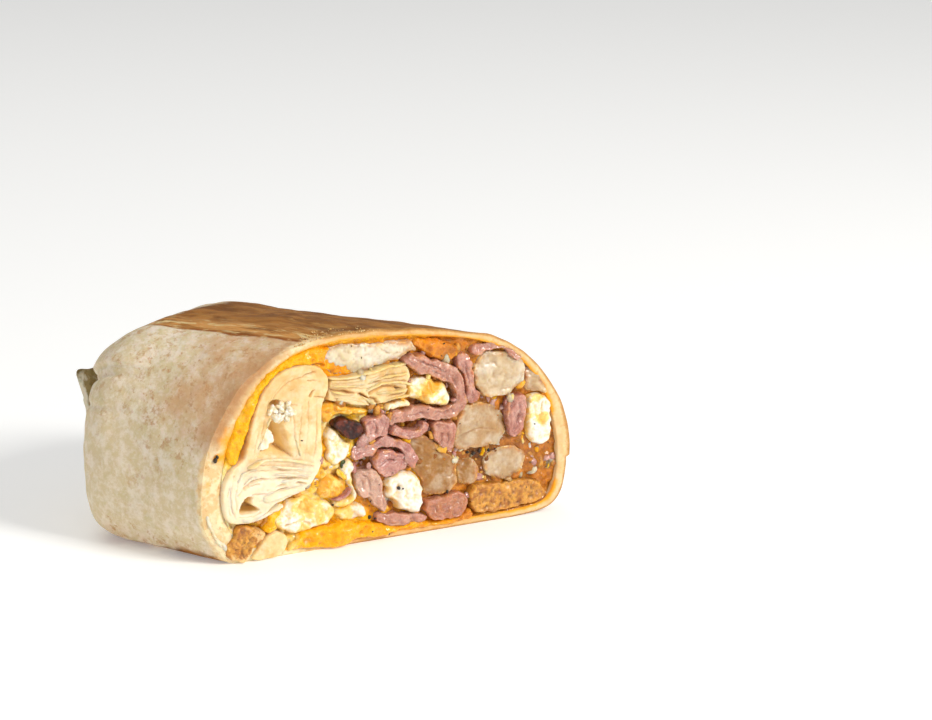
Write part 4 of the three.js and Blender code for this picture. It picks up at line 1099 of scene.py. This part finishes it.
# Folds and creases cut into the pieces: [line, half width, depth].
creases = {
    "ham_lobe": [([(35.2, 18.4), (37.6, 19.5), (40.4, 18.9), (42.2, 17.8)], 0.25, 0.8), ([(36.6, 21),
        (39, 20.7), (41, 19.9)], 0.2, 0.5)],
    "ham_left_lobe": [([(33.2, 30), (34.4, 28.4), (34.9, 26.2), (34, 24.8)], 0.25, 0.9), ([(36.4, 29.9),
        (36.9, 28), (36.2, 26)], 0.22, 0.6)],
    "ham_right": [([(51.2, 26), (52.3, 23.4), (52.2, 21.2)], 0.28, 0.9), ([(53.4, 25.9), (54.2, 23),
        (53.8, 20.6)], 0.25, 0.8), ([(50.6, 24.9), (51.4, 22.8)], 0.2, 0.6)],
    "ham_small": [([(31, 17), (33, 15.2), (33.4, 12.4)], 0.28, 0.8), ([(35.6, 12.6), (36.6, 9.4)], 0.18,
        0.5)],
    "ham_bottom": [([(48.4, 6.6), (51.5, 6.1), (55, 6.5), (58, 5.6)], 0.28, 0.9), ([(50.6, 4.6),
        (54.6, 4.4), (57, 4.5)], 0.22, 0.6), ([(52.6, 8), (53, 6.4)], 0.2, 0.5)],
    "ham_arch": [([(30, 21.6), (33, 22.3), (36, 23.6), (38.6, 23.4), (41, 21.6), (42.6, 19.6)], 0.22,
        0.7)],
    "ham_curl_right": [([(43.6, 43.8), (47, 42), (51, 40), (54.4, 37.8), (56.2, 34), (55.8, 30.6),
        (53, 29), (49, 29.6), (44, 29.6), (40, 29.2)], 0.26, 0.9), ([(49, 39.9), (52.4, 38), (54.6, 35)],
        0.18, 0.5), ([(46, 30.6), (43, 30.2), (40.6, 30.2)], 0.18, 0.4)],
    "ham_loop": [([(39.6, 26.2), (42, 25.2), (45, 24.4), (47.2, 25.4)], 0.22, 0.7)],
    "ham_strip_low": [([(36.4, 5.6), (40, 4.5), (44, 4.1)], 0.18, 0.4)],
    "ham_far": [([(58, 40.6), (59.2, 37), (60, 33)], 0.2, 0.6)],
    "ham_far_low": [([(72.4, 22.4), (73.2, 26), (72.6, 29)], 0.25, 0.7)],
    "egg_upper_right": [([(44.6, 35.5), (48, 35), (51, 34.6)], 0.32, 0.6), ([(48.4, 37.2), (49, 34.4)],
        0.26, 0.5), ([(51.4, 34.8), (52.2, 31.6)], 0.24, 0.5), ([(46.6, 34.8), (47.4, 32.6)], 0.22, 0.4)],
    "egg_bottom": [([(12.2, 9.2), (14.6, 10.4), (15.4, 12.6)], 0.32, 0.8), ([(15.8, 10.2), (18.6, 9.4),
        (21.4, 9.8)], 0.32, 0.7), ([(17.6, 12.4), (17.7, 10)], 0.26, 0.6), ([(11.6, 7.4), (15, 7.9),
        (17.4, 6.8)], 0.3, 0.7), ([(18.6, 9), (19.2, 7)], 0.24, 0.5)],
    "egg_left": [([(22.6, 26.4), (24.4, 25.2), (25, 22)], 0.26, 0.5)],
    "egg_yolk_top": [([(22, 33), (26, 32.9), (30, 32.2)], 0.26, 0.6), ([(24.4, 34.6), (24.8, 31.8)], 0.24,
        0.5)],
    "egg_yolk_low": [([(21.6, 14), (24, 14.6), (26.4, 14)], 0.28, 0.6)],
    "egg_far": [([(77, 22), (79, 24), (79.4, 28)], 0.28, 0.6)],
    "potato_center": [([(45.2, 22.6), (48.4, 20.6), (51.8, 19.4)], 0.2, 0.4), ([(50, 14), (53, 13),
        (55, 13.4)], 0.2, 0.3)],
    "potato_top": [([(36, 46.6), (38.4, 45.2), (41, 45)], 0.25, 0.4)],
    "potato_right_upper": [([(58, 22), (62, 23.4), (67, 22.6)], 0.25, 0.5)],
}
# Openings between pieces that stay open: [x, z, half width, half height].
openings = [(43.6, 26.9, 1.9, 0.7), (32.2, 19, 1.6, 0.8), (49.2, 26, 0.7, 1.6), (38.4, 8.6, 1.3, 1),
            (55, 33.4, 0.7, 2), (47.2, 31.8, 1, 0.5), (33.4, 31.6, 0.6, 0.3), (62.6, 17.8, 4, 0.6)]


def openingLoop(x, z, wide, high):
    turns = np.linspace(0, 2 * math.pi, 16, endpoint=False)
    return np.column_stack([x + wide * np.cos(turns), z + high * np.sin(turns)])


def grownTogether(loops, fixed):
    # Outlines moved out towards each other until only a thin crevice is left between them.
    cloud = np.vstack([loop for loop, _ in loops.values()] + fixed)
    counts = [len(loop) for loop, _ in loops.values()]
    owner = np.repeat(range(len(counts) + 1), counts + [len(cloud) - sum(counts)])
    grown = {}
    for i, (name, (loop, most)) in enumerate(loops.items()):
        gap = np.sqrt(((loop[:, None, :] - cloud[owner != i][None]) ** 2).sum(2)).min(1)
        reach = np.clip(0.5 * gap - 0.1, 0, most)
        for _ in range(4):
            reach = 0.5 * reach + 0.25 * (np.roll(reach, 1) + np.roll(reach, -1))
        grown[name] = loop + outwards(loop) * reach[:, None]
    return grown


def longReach(outline):
    # Long fillings run back to near the closed end, but those beside the wall stop where it narrows.
    middle = np.mean([x for x, z in outline])
    reach = lengthAt(middle) - endMargin
    return min(reach, sideReach) if middle > sideStart else reach


def camel(name):
    first, *rest = name.split("_")
    return first + "".join(word.capitalize() for word in rest)


pieces = [(node, kind, rise, None, outline, depth) for node, (kind, rise, outline, depth) in blobs.items()]
pieces += [(node, kind, rise, width, line, None) for node, (kind, rise, width, line) in strips.items()]
startLoops = {node: (pieceLoop(outline, styles[kind], width, seed), styles[kind]["most"])
              for seed, (node, kind, rise, width, outline, depth) in enumerate(pieces, 60)}
fixedLoops = [openingLoop(*opening) for opening in openings] + [fillingLoop]
fixedLoops += [curveThrough(body[2], 0.4) for body in foldBodies.values()]
packedLoops = grownTogether(startLoops, fixedLoops)
# Grooves like the edges of folded slices: how far in they lie, half width, depth, share of the way round.
sliceGrooves = {"insets": (0.8, 1.8, 2.8), "width": 0.22, "depth": 0.3, "share": (0.3, 0.55)}


def slices(loop, seed):
    # Thin grooves that follow the outline part of the way.
    draw = np.random.default_rng(seed)
    grooves = []
    for inset in sliceGrooves["insets"]:
        inner = shrunk(loop, np.full(len(loop), inset))
        start = draw.integers(0, len(inner))
        part = np.roll(inner, -start, axis=0)[:int(len(inner) * draw.uniform(*sliceGrooves["share"])):7]
        if len(part) > 3 and turnOf(inner) > 0:
            grooves.append((part, sliceGrooves["width"], sliceGrooves["depth"]))
    return grooves


def fillingMarks(node, kind, points):
    marks = {}
    if kind in ("egg", "yolk"):
        marks["yolky"] = yolkShare.get(node, 0)
    if node in yolkSpots:
        x, z, size, share = yolkSpots[node]
        marks["yolky"] = marks["yolky"] + share * spotAt(points, x, z, size)
    if kind == "ham":
        marks["fatty"], marks["glazed"] = hamTones.get(node, (0, 0.12))
    if kind == "potato":
        marks["dim"] = tanAndShadeShare.get(node, 0)
    if node == "crust_corner":
        marks["fading"] = 0.9 * smooth(points[:, 0], 1, 6) + 0.7 * smooth(points[:, 2], 3.6, 0.8)
    return {key: value * np.ones(len(points)) for key, value in marks.items()}


def fillingPiece(node, kind, rise, outline, depth, seed):
    grooves, loop = list(creases.get(node, ())), packedLoops[node]
    if kind == "ham":
        grooves = [(line, width, depth * 0.65) for line, width, depth in grooves] + slices(loop, seed)
    depth = depth or longReach(outline)
    points, faces, marks = reliefMesh(loop, styles[kind], rise * proud, depth, seed, grooves)
    surface.append(points[marks["edge"] > 0])
    marks.update(fillingMarks(node, kind, points))
    return handIn(makeMesh(camel(node), points, faces, finishes[kind], marks), node)


for seed, (node, kind, rise, width, outline, depth) in enumerate(pieces, 60):
    fillingPiece(node, kind, rise, outline, depth, seed)

# Melted cheese that has run over the rest: [millimetres it stands out, outline].
poolStyle = {"spacing": 0.24, "edge": 1.1, "power": 2, "sink": 1.6, "crown": 0.2, "tilt": 0.02,
             "wobble": [(2.4, 0.4), (1.0, 0.25)], "bumps": [(2.6, 0.5), (1.3, 0.42), (0.8, 0.2)]}
cheesePools = {
    "bandPool": (0.9, [(-2.6, 24.4), (-2.9, 28), (-1.6, 32), (0.8, 36.4), (3.6, 40.4), (7.4, 43.8),
        (12, 46.6), (16, 48), (20.4, 48.8), (23.4, 48.4), (22.6, 45.6), (22.8, 43.8), (19, 44.6),
        (14, 44.7), (9.8, 42.8), (6.4, 39.4), (4, 34.6), (2.4, 29.4), (0.9, 25.4), (-0.8, 23.6)]),
    "cornerPool": (0.9, [(5.4, 6.4), (6.2, 9.4), (8.2, 11.8), (10.2, 12.6), (10.6, 10.4), (9.2, 8.8),
        (9.6, 6.8), (8.4, 5.8)]),
    "floorPool": (1.5, [(12, 0.9), (12.4, 2.8), (14.6, 4.9), (18, 6), (23, 6.4), (28, 6.2), (33, 5.2),
        (37, 3.9), (42, 2.9), (41, 1.3), (35, 0.8), (30, 0.8), (27.4, 0.5), (26, 0.25), (24, 0.2),
        (21.4, 0.4), (17, 0.7)]),
    "farPool": (0.7, [(41, 1.2), (42, 3), (48, 3.2), (53, 2.6), (58, 2.9), (60, 4), (61, 2.4), (58, 1.1),
        (50, 0.9)]),
    "topPool": (0.6, [(44.6, 46.2), (46, 47.6), (51, 47), (56, 45.4), (57.4, 42.8), (54.6, 40.8),
        (50.4, 42), (47, 44)]),
}
# Where the cheese bulges over the lower edge: [x, z, size squared, millimetres forward].
poolDrop = (24.6, 2, 7, 1.6)
for seed, (name, (rise, outline)) in enumerate(cheesePools.items(), 300):
    loop = pieceLoop(outline, poolStyle)
    points, faces, marks = reliefMesh(loop, poolStyle, rise, 6, seed)
    shows = marks["edge"] > 0
    x, z, size, out = poolDrop
    points[:, 1] -= out * np.exp(-((points[:, 0] - x) ** 2 + (points[:, 2] - z) ** 2) / size) * shows
    marks["amber"] = bySpots(points, cheeseSpots)
    marks["patchy"] = np.full(len(points), 0.35 if name == "bandPool" else 0.8)
    surface.append(points[shows])
    handIn(makeMesh(name, points, faces, cheese, marks), "melted_cheese")
# Thin slice of ham that lies between the eggs: middle line and width.
sliver = {"line": [(23.4, 11.7), (25.4, 12), (27, 12.9), (27.9, 14)], "width": 1.1}
loop = pieceLoop(sliver["line"], styles["ham"], sliver["width"], 330)
points, faces, marks = reliefMesh(loop, styles["ham"], 1.5, 5, 330)
handIn(makeMesh("hamSliver", points, faces, ham, marks), "melted_cheese")
print("filling pieces laid in")


# Geometry Nodes groups for thin sheets and small bits
class Grower(Graph):
    # A group under construction, with inputs that have a name: [name, kind, value].
    def __init__(self, name, *inputs):
        super().__init__(bpy.data.node_groups.new(name, "GeometryNodeTree"))
        for title, kind, value in inputs:
            socket = self.tree.interface.new_socket(title, in_out="INPUT", socket_type="NodeSocket" + kind)
            if value is not None:
                socket.default_value = value
        self.tree.interface.new_socket("Mesh", in_out="OUTPUT", socket_type="NodeSocketGeometry")
        self.given = self.tree.nodes.new("NodeGroupInput").outputs

    def jitter(self, mesh, amount, scale, **more):
        # Pushes every point about by noise.
        texture = self.node("ShaderNodeTexNoise", {"Scale": scale, "Detail": 2} | more, "Color",
                            noise_dimensions="4D" if more else "3D")
        centred = self.node("ShaderNodeVectorMath", {0: texture, 1: (0.5, 0.5, 0.5)}, operation="SUBTRACT")
        scaled = self.node("ShaderNodeVectorMath", {0: centred, "Scale": amount}, operation="SCALE")
        return self.node("GeometryNodeSetPosition", {"Geometry": mesh, "Offset": scaled})

    def finish(self, mesh):
        for kind in ("GeometryNodeSetShadeSmooth", "GeometryNodeRealizeInstances"):
            mesh = self.node(kind, {"Geometry": mesh})
        mesh = self.node("GeometryNodeSetMaterial", {"Geometry": mesh, "Material": self.given["Material"]})
        self.plug(self.tree.nodes.new("NodeGroupOutput").inputs, {"Mesh": mesh})
        return self.tree


def sweptSheets():
    # Sweeps a sheet's section along each line, crinkles it and slants it back.
    g = Grower("sweptSheets", ("Lines", "Geometry", None), ("Section", "Object", None),
               ("Crinkle", "Float", 0.0004), ("Crinkle Scale", "Float", 500.0), ("Fray", "Float", 0.0001),
               ("Fray Scale", "Float", 1600.0), ("Slant", "Float", 0.0), ("Cut Plane", "Float", 0.0),
               ("Seed", "Float", 0.0), ("Material", "Material", None))
    lines = g.node("GeometryNodeMeshToCurve", {"Mesh": g.given["Lines"]})
    shape = g.node("GeometryNodeObjectInfo", {"Object": g.given["Section"]}, "Geometry")
    section = g.node("GeometryNodeMeshToCurve", {"Mesh": shape})
    upright = g.node("GeometryNodeSetCurveNormal", {"Curve": lines, "Normal": (0, 1, 0)}, mode="FREE")
    taper = g.node("GeometryNodeInputNamedAttribute", {"Name": "taper"}, "Attribute")
    sheet = g.node("GeometryNodeCurveToMesh", {
        "Curve": upright, "Profile Curve": section, "Fill Caps": True, "Scale": taper})
    for amount in ("Crinkle", "Fray"):
        sheet = g.jitter(sheet, g.given[amount], g.given[amount + " Scale"], W=g.given["Seed"])
    depth = g.node("ShaderNodeSeparateXYZ", {0: g.node("GeometryNodeInputPosition")}, "Y")
    back = g.node("ShaderNodeMath", {0: depth, 1: g.given["Cut Plane"]}, operation="SUBTRACT")
    lean = g.node("ShaderNodeMath", {0: back, 1: g.given["Slant"]}, operation="MULTIPLY")
    slide = g.node("ShaderNodeCombineXYZ", {"X": lean})
    return g.finish(g.node("GeometryNodeSetPosition", {"Geometry": sheet, "Offset": slide}))


def scatteredBits():
    # Puts an uneven lump at each point, sized by the point's "size".
    g = Grower("scatteredBits", ("Places", "Geometry", None), ("Flatten", "Float", 0.7),
               ("Roughen", "Float", 0.0004), ("Roughen Scale", "Float", 1100.0), ("Faces", "Int", 2),
               ("Seed", "Int", None), ("Material", "Material", None))
    points = g.node("GeometryNodeMeshToPoints", {"Mesh": g.given["Places"]})
    lump = g.node("GeometryNodeMeshIcoSphere", {"Radius": 0.5, "Subdivisions": g.given["Faces"]}, "Mesh")
    limits = ((0, 0, 0), (6.28, 6.28, 6.28)), ((0.7, 0.6, 0.6), (1.5, 1.1, 1.0))
    turn, stretch = [g.node("FunctionNodeRandomValue", {0: low, 1: high, "Seed": g.given["Seed"]},
                            data_type="FLOAT_VECTOR") for low, high in limits]
    flatten = g.node("ShaderNodeCombineXYZ", {"X": 1, "Y": 1, "Z": g.given["Flatten"]})
    flat = g.node("ShaderNodeVectorMath", {0: stretch, 1: flatten}, operation="MULTIPLY")
    size = g.node("GeometryNodeInputNamedAttribute", {"Name": "size"}, "Attribute")
    sized = g.node("ShaderNodeVectorMath", {0: flat, "Scale": size}, operation="SCALE")
    bits = g.node("GeometryNodeInstanceOnPoints", {
        "Points": points, "Instance": lump, "Rotation": turn, "Scale": sized})
    bits = g.node("GeometryNodeRealizeInstances", {"Geometry": bits})
    return g.finish(g.jitter(bits, g.given["Roughen"], g.given["Roughen Scale"]))


def grown(source, tree, name, **inputs):
    # Runs a group on the source object and keeps the result as a plain mesh.
    modifier = source.modifiers.new(tree.name, "NODES")
    modifier.node_group = tree
    sockets = {item.name: item.identifier for item in tree.interface.items_tree if item.in_out == "INPUT"}
    for key, value in inputs.items():
        modifier[sockets[key.replace("_", " ")]] = value
    bpy.context.view_layer.update()
    evaluated = source.evaluated_get(bpy.context.evaluated_depsgraph_get())
    mesh = bpy.data.meshes.new_from_object(evaluated)
    mesh.name = name
    bpy.data.objects.remove(source)
    return placed(name, mesh)


def sourceMesh(name, places, edges=(), marks={}):
    mesh = bpy.data.meshes.new(name)
    mesh.from_pydata(places, edges, [])
    mark(mesh, marks)
    return placed(name, mesh)


# Folded tortilla sheets
def lineMesh(name, lines, seed):
    # The loose edge of every sheet, at the cut plane: [line, thickness, millimetres it stands out].
    points, edges, taper, spacing = [], [], [], sheets["spacing"]
    draw = np.random.default_rng(seed)
    for control, thickness, rise in lines:
        path = curveThrough(control, spacing, closed=False)
        first = len(points)
        wave = np.sin(np.arange(len(path)) * spacing / 2.7 + draw.uniform(0, 6))
        proud = sheets["rise"] * thickness - rise + 0.3 * wave
        points += [(x, y, z) for (x, z), y in zip(path, proud)]
        edges += [(first + i, first + i + 1) for i in range(len(path) - 1)]
        steps = np.minimum(np.arange(len(path)), np.arange(len(path))[::-1]) * spacing
        taper += list(thickness * (0.25 + 0.75 * np.sqrt(1 - (1 - np.clip(steps / 1.1, 0, 1)) ** 2)))
    return sourceMesh(name, toFrame(points).tolist(), edges, {"taper": taper})


def sectionMesh(name):
    # Closed outline of a sheet 1 mm thick, seen edge on: a soft front edge, then flat sides that run back.
    half, corner, rise = 0.5, 0.38, sheets["rise"]
    turns = np.linspace(0, math.pi / 2, 4)
    first = [(-rise + corner * (1 - math.sin(a)), half - corner * (1 - math.cos(a))) for a in turns]
    front = first + [(-rise, t) for t in np.linspace(half - corner, corner - half, 4)[1:-1]]
    front += [(y, -t) for y, t in first[::-1]]
    sides = [0.3, 1, 2.2, 4, 8, sheets["depth"]]
    outline = np.array(front + [(y, -half) for y in sides] + [(y, half) for y in sides[::-1]]) / 1000
    edges = [(i, (i + 1) % len(outline)) for i in range(len(outline))]
    return sourceMesh(name, [(y, t, 0) for y, t in outline], edges)


sheetTree = sweptSheets()
sheets = {"rise": 1.0, "depth": 9, "spacing": 0.3, "crinkle": 0.0011, "fray": 0.0005}
# Loose sheets on the folds: [line, thickness, millimetres it stands out].
looseSheets = {
    "foldSheets": ("tortilla_fold_left", [([(1.2, 22.8), (5, 24.1), (9, 23.6), (13, 22.7), (17.6, 21.4)],
        0.58, 1.9), ([(-1.6, 19.6), (0.4, 21.5), (4, 22.2), (8, 22), (13, 21), (18.2, 19.9)], 0.43, 1.5),
        ([(0.2, 18.9), (3.4, 20.4), (8, 20.2), (13, 19.5), (17, 18.7)], 0.43, 1.5), ([(2.4, 17.3),
        (6, 17.9), (9.6, 18.2), (13.6, 18.2)], 0.5, 1.3), ([(15.6, 16.4), (11.4, 15.5), (7.6, 15.3),
        (4.4, 14.7)], 1.7, 1.9), ([(10, 12.6), (6.4, 10.9), (2.4, 10.2), (-1, 10.7)], 0.65, 1.4),
        ([(-2.9, 20.4), (-3.3, 17), (-2.9, 13.4), (-1.8, 10.9)], 0.58, 1.3), ([(3.4, 25.6), (5.3, 30.2),
        (6.8, 33.8)], 0.43, 1.5), ([(14.4, 23.6), (13.6, 27), (13, 30.4), (12.2, 32.4)], 0.43, 1.1)]),
    "topSheets": ("tortilla_fold_top", [([(22.6, 41), (27, 40.8), (32, 41.2), (37, 42.1), (42.6, 42.2)],
        0.5, 1.6), ([(23, 39.3), (27, 38.8), (31, 38.9), (36, 39.6), (42, 40)], 0.43, 1.5), ([(31.2, 37),
        (33.6, 38), (37, 38.4), (41, 37.8), (43.4, 36.9)], 0.43, 1.8), ([(33.4, 36), (35.8, 35.9),
        (38.8, 35.8), (41.6, 36.4)], 0.58, 1.6), ([(22.8, 37.9), (26, 37), (29.6, 36.1), (32.2, 34.6),
        (33.2, 33.6)], 0.43, 1.5), ([(36, 33.8), (38.6, 34.3), (42.4, 34.4)], 0.43, 1.3)]),
}


def foldTones(height):
    # The lower folds are the whitest, the upper ones more golden.
    return {"white": 0.6 * smooth(height, 26, 19), "golden": 0.4 * smooth(height, 31, 38)}


def foldedSheets(name, lines, seed):
    section = sectionMesh(name + "Section")
    piece = grown(lineMesh(name + "Lines", lines, seed), sheetTree, name, Section=section,
                  Crinkle=sheets["crinkle"], Crinkle_Scale=260.0, Fray=sheets["fray"], Fray_Scale=1200.0,
                  Slant=-math.tan(slant), Cut_Plane=float(toFrame([0, 0, 0])[1]), Seed=float(seed),
                  Material=dough)
    bpy.data.objects.remove(section)
    places = np.empty(3 * len(piece.data.vertices), np.float32)
    piece.data.vertices.foreach_get("co", places)
    mark(piece.data, foldTones(places[2::3] * 1000))
    return piece


foldStyle = dict(styles["layers"], spacing=0.22, edge=0.5, sink=0.4, crown=0.1, tilt=0.0,
                 bumps=[(5, 0.35), (1.8, 0.14), (0.7, 0.07)], wobble=[(2, 0.12), (0.8, 0.08)])
scrapStyle = dict(styles["layers"], spacing=0.2, edge=0.5, crown=0.1,
                  bumps=[(1.4, 0.6), (0.7, 0.4)], wobble=[(1.2, 0.4), (0.5, 0.2)])
for seed, (name, (node, rise, outline, grooves, pits)) in enumerate(foldBodies.items(), 150):
    points, faces, marks = reliefMesh(pieceLoop(outline, foldStyle), foldStyle, rise, 15, seed, grooves, pits)
    surface.append(points[marks["edge"] > 0])
    marks.update(foldTones(points[:, 2]))
    handIn(makeMesh(name, points, faces, dough, marks), node)
for seed, (name, (outline, rise)) in enumerate(foldScraps.items(), 160):
    points, faces, marks = reliefMesh(pieceLoop(outline, scrapStyle), scrapStyle, rise, 9, seed)
    marks["white"] = np.ones(len(points))
    handIn(makeMesh(name, points, faces, dough, marks), "tortilla_fold_left")
for seed, (name, (node, lines)) in enumerate(looseSheets.items(), 170):
    handIn(foldedSheets(name, lines, seed), node)
print("tortilla sheets folded")


# Small bits, scattered or set in place
bitTree = scatteredBits()
footing = {"deepest": 4.5, "reachSquared": 0.16}       # what a bit can lie on, in millimetres
cloud = np.vstack(surface)
cloud = cloud[cloud[:, 1] < footing["deepest"]]


def standOn(places):
    # Depth of whatever shows at each place on the cut.
    depths = []
    for x, z in places:
        away = (cloud[:, 0] - x) ** 2 + (cloud[:, 2] - z) ** 2
        near = cloud[away < footing["reachSquared"]]
        depths.append(near[:, 1].min() if len(near) else cloud[away.argmin(), 1])
    return np.array(depths)


def bitPiece(name, places, sizes, material, seed, slot, node, **inputs):
    draw, count = np.random.default_rng(seed), len(sizes)
    marks = {"size": np.array(sizes) / 1000, "edge": np.full(count, 5.0), "patchy": np.ones(count)}
    for key, limits in {"yolky": (0, 0.9), "dim": (0.1, 0.8), "amber": (0.15, 0.6)}.items():
        marks[key] = draw.uniform(*limits, count)
    source = sourceMesh(name + "Places", toFrame(places).tolist(), marks=marks)
    return handIn(grown(source, bitTree, name, Seed=seed, Material=material, **inputs), node)


# Scattered over the cut: [material, slot, count, smallest, largest, share kept away from the pieces].
scatter = {
    "eggBits": (egg, "egg", 22, 1.4, 3.4, 1), "hamBits": (ham, "ham", 34, 1.6, 4, 1),
    "potatoBits": (potato, "potato", 22, 1.6, 3.8, 1), "brownedBits": (browned, "browned", 44, 1.2, 3.4, 1),
    "cheeseBits": (cheese, "cheese", 16, 1.6, 3.4, 1),
    "herbBits": (herb, "charred", 6, 0.3, 0.7, 0.4), "pepperBits": (pepper, "charred", 14, 0.25, 0.55, 0.5),
}
# Where no bits lie: round the charred piece, and near the wall at the left, the top and the bottom.
clear = {"char": (27.6, 28.6), "charReach": 5, "wallReach": 4.2, "left": 24, "top": 44, "bottom": 7,
         "wall": 1.2}
roughening = {"food": 0.0011, "herbs": 0.0001, "specks": 0.0003, "dough": 0.0006, "toast": 0.00015}
cutRim = rollRing(0, lengthAt, 1.15)[:, [0, 2]]
foldAreas = [curveThrough(body[2], 0.8) for body in foldBodies.values()]


def scatterPlaces(count, share, seed):
    draw = np.random.default_rng(seed)
    tries = draw.uniform(cutRim.min(0), cutRim.max(0), (count * 14, 2))
    tries = tries[insideLoop(tries, cutRim)]
    x, z = tries.T
    toWall = distanceTo(tries, cutRim)
    toChar = np.hypot(x - clear["char"][0], z - clear["char"][1])
    outer = (x < clear["left"]) | (z > clear["top"]) | (z < clear["bottom"])
    keep = (toChar > clear["charReach"]) & (toWall > clear["wall"]) & ~((toWall < clear["wallReach"]) & outer)
    for loop in foldAreas:
        keep &= ~insideLoop(tries, loop)
    onPiece = np.any([insideLoop(tries, loop) for loop in packedLoops.values()], axis=0)
    free, covered = tries[keep & ~onPiece], tries[keep & onPiece]
    between = min(int(count * share), len(free))
    return np.vstack([free[:between], covered[:count - between]])


for seed, (name, (material, slot, count, smallest, largest, share)) in enumerate(scatter.items(), 200):
    spots = scatterPlaces(count, share, seed)
    sizes = smallest + (largest - smallest) * np.random.default_rng(seed).uniform(0, 1, len(spots)) ** 1.6
    places = np.column_stack([spots[:, 0], standOn(spots) + sizes * 0.32, spots[:, 1]])
    bitPiece(name, places, sizes, material, seed, slot, "melted_cheese",
             Roughen=roughening["food" if smallest > 0.5 else "herbs"])


# Specks that have a place of their own: [x, z, size].
specks = {
    "pepperSpecks": (pepper, "charred", 0.9, [(-5.6, 25.5, 1.3), (-5.1, 26.2, 0.9), (53.4, 9.4, 1),
        (40.4, 12.3, 0.9), (41.3, 12.1, 0.6), (33.4, 5.8, 0.9), (34.4, 5.6, 0.6), (52.6, 45.8, 0.6),
        (60, 17.6, 0.8), (61.4, 17.2, 1), (63, 17.7, 1.3), (64.6, 17.4, 0.9), (66, 17.2, 0.9),
        (67.2, 17.6, 0.6), (48.6, 27.2, 0.6), (29, 47.9, 0.4), (15.6, 27.4, 0.5), (33, 3, 0.5),
        (37.4, 1.6, 0.5)]),
    "herbSpecks": (herb, "charred", 0.7, [(26.4, 20.4, 1.6), (26, 19.6, 0.9), (45.6, 16.8, 0.8),
        (46.6, 27.9, 0.7), (24.6, 12, 0.6), (31.6, 44.8, 0.4)]),
}
for seed, (name, (material, slot, flatten, marks)) in enumerate(specks.items(), 220):
    x, z, sizes = np.array(marks).T
    depths = np.where(x < -4, -0.2, standOn(np.column_stack([x, z])) - 0.1)
    bitPiece(name, np.column_stack([x, depths, z]), sizes, material, seed, slot, "melted_cheese",
             Flatten=flatten, Roughen=roughening["specks"])

# Crumbly dough in the pocket, and crumbs of crust along the top edge of the cut.
fluffy = {"count": 70, "x": (6.8, 14.6), "z": (31.8, 37.6), "middle": (10.6, 34.8),
          "halfSquared": (15, 6.5), "size": (0.6, 2)}
crust = {"count": 140, "x": (15, 37), "size": (0.2, 0.48), "above": 46, "back": 6}
draw = np.random.default_rng(31)
x, z = (draw.uniform(*fluffy[side], fluffy["count"]) for side in "xz")
(middleX, middleZ), (wide, high) = fluffy["middle"], fluffy["halfSquared"]
kept = (x - middleX) ** 2 / wide + (z - middleZ) ** 2 / high < 1
x, z = x[kept], z[kept]
sizes = draw.uniform(*fluffy["size"], len(x))
places = np.column_stack([x, standOn(zip(x, z)) - 0.2 * draw.uniform(0, 1, len(x)), z])
bitPiece("fluffyCrumbs", places, sizes, crumbs, 31, "layers", "tortilla_fold_left",
         Roughen=roughening["dough"])

x, share = draw.uniform((crust["x"][0], 0), (crust["x"][1], 1), (crust["count"], 2)).T
rimTop = rollRing(0, lengthAt, 0)
rimTop = rimTop[rimTop[:, 2] > crust["above"]]
heights = np.interp(x, *rimTop[np.argsort(rimTop[:, 0])][:, [0, 2]].T)
back = crust["back"] * share ** 2 * smooth(x, 12, 26) + 0.4
places = np.column_stack([x - back * math.tan(slant), back - 0.5, heights - 0.02])
bitPiece("toastCrumbs", places, draw.uniform(*crust["size"], len(places)), toasted, 33, "browned",
         "tortilla_wrap", Faces=1, Roughen=roughening["toast"])
print("small bits scattered")


# Camera, lights and floor
view = {"place": (-247.93, -570.14, 214.27), "target": (77.99, 35.4, 30), "lens": 110}
lamps = {    # [place, size, watts, colour], in metres
    "key": ((0.45, -0.8, 0.62), 0.3, 9.5, (1, 0.98, 0.95)),
    "fill": ((-0.95, -0.45, 0.35), 0.8, 1.9, (0.99, 0.99, 1)),
    "top": ((-0.1, 0.35, 1.1), 0.8, 2.4, (1, 1, 1)),
}
surroundings = {"strength": 0.38, "floorHalf": 3, "floorColour": "#f7f7f5", "floorGlow": 0.2}


def aim(item, place, target):
    item.location = place
    item.rotation_euler = (Vector(target) - Vector(place)).to_track_quat("-Z", "Y").to_euler()


def addCamera():
    data = bpy.data.cameras.new("camera")
    data.lens, data.sensor_width = view["lens"], 36
    data.clip_start, data.clip_end = 0.01, 20
    camera = placed("camera", data)
    aim(camera, toFrame(view["place"]), toFrame(view["target"]))
    bpy.context.scene.camera = camera


def addLamps():
    for name, (place, size, watts, colour) in lamps.items():
        data = bpy.data.lights.new(name, "AREA")
        data.size, data.energy, data.color = size, watts, colour
        aim(placed(name, data), place, (0, 0, 0.03))
    world = bpy.data.worlds.new("studio")
    world.use_nodes = True
    sky = world.node_tree.nodes["Background"].inputs
    sky["Color"].default_value, sky["Strength"].default_value = (1, 1, 1, 1), surroundings["strength"]
    bpy.context.scene.world = world
    bpy.context.scene.view_settings.view_transform = "Standard"


def addFloor():
    half = surroundings["floorHalf"]
    mesh = bpy.data.meshes.new("floor")
    corners = [(-half, -half, 0), (half, -half, 0), (half, half, 0), (-half, half, 0)]
    mesh.from_pydata(corners, [], [(0, 1, 2, 3)])
    r = Recipe("PaleFloor", Emission_Color=(1, 1, 1, 1), Emission_Strength=surroundings["floorGlow"])
    mesh.materials.append(r.finish(paint(surroundings["floorColour"]), 0.7))
    placed("floor", mesh)


addCamera()
addLamps()
addFloor()
print("stage set")
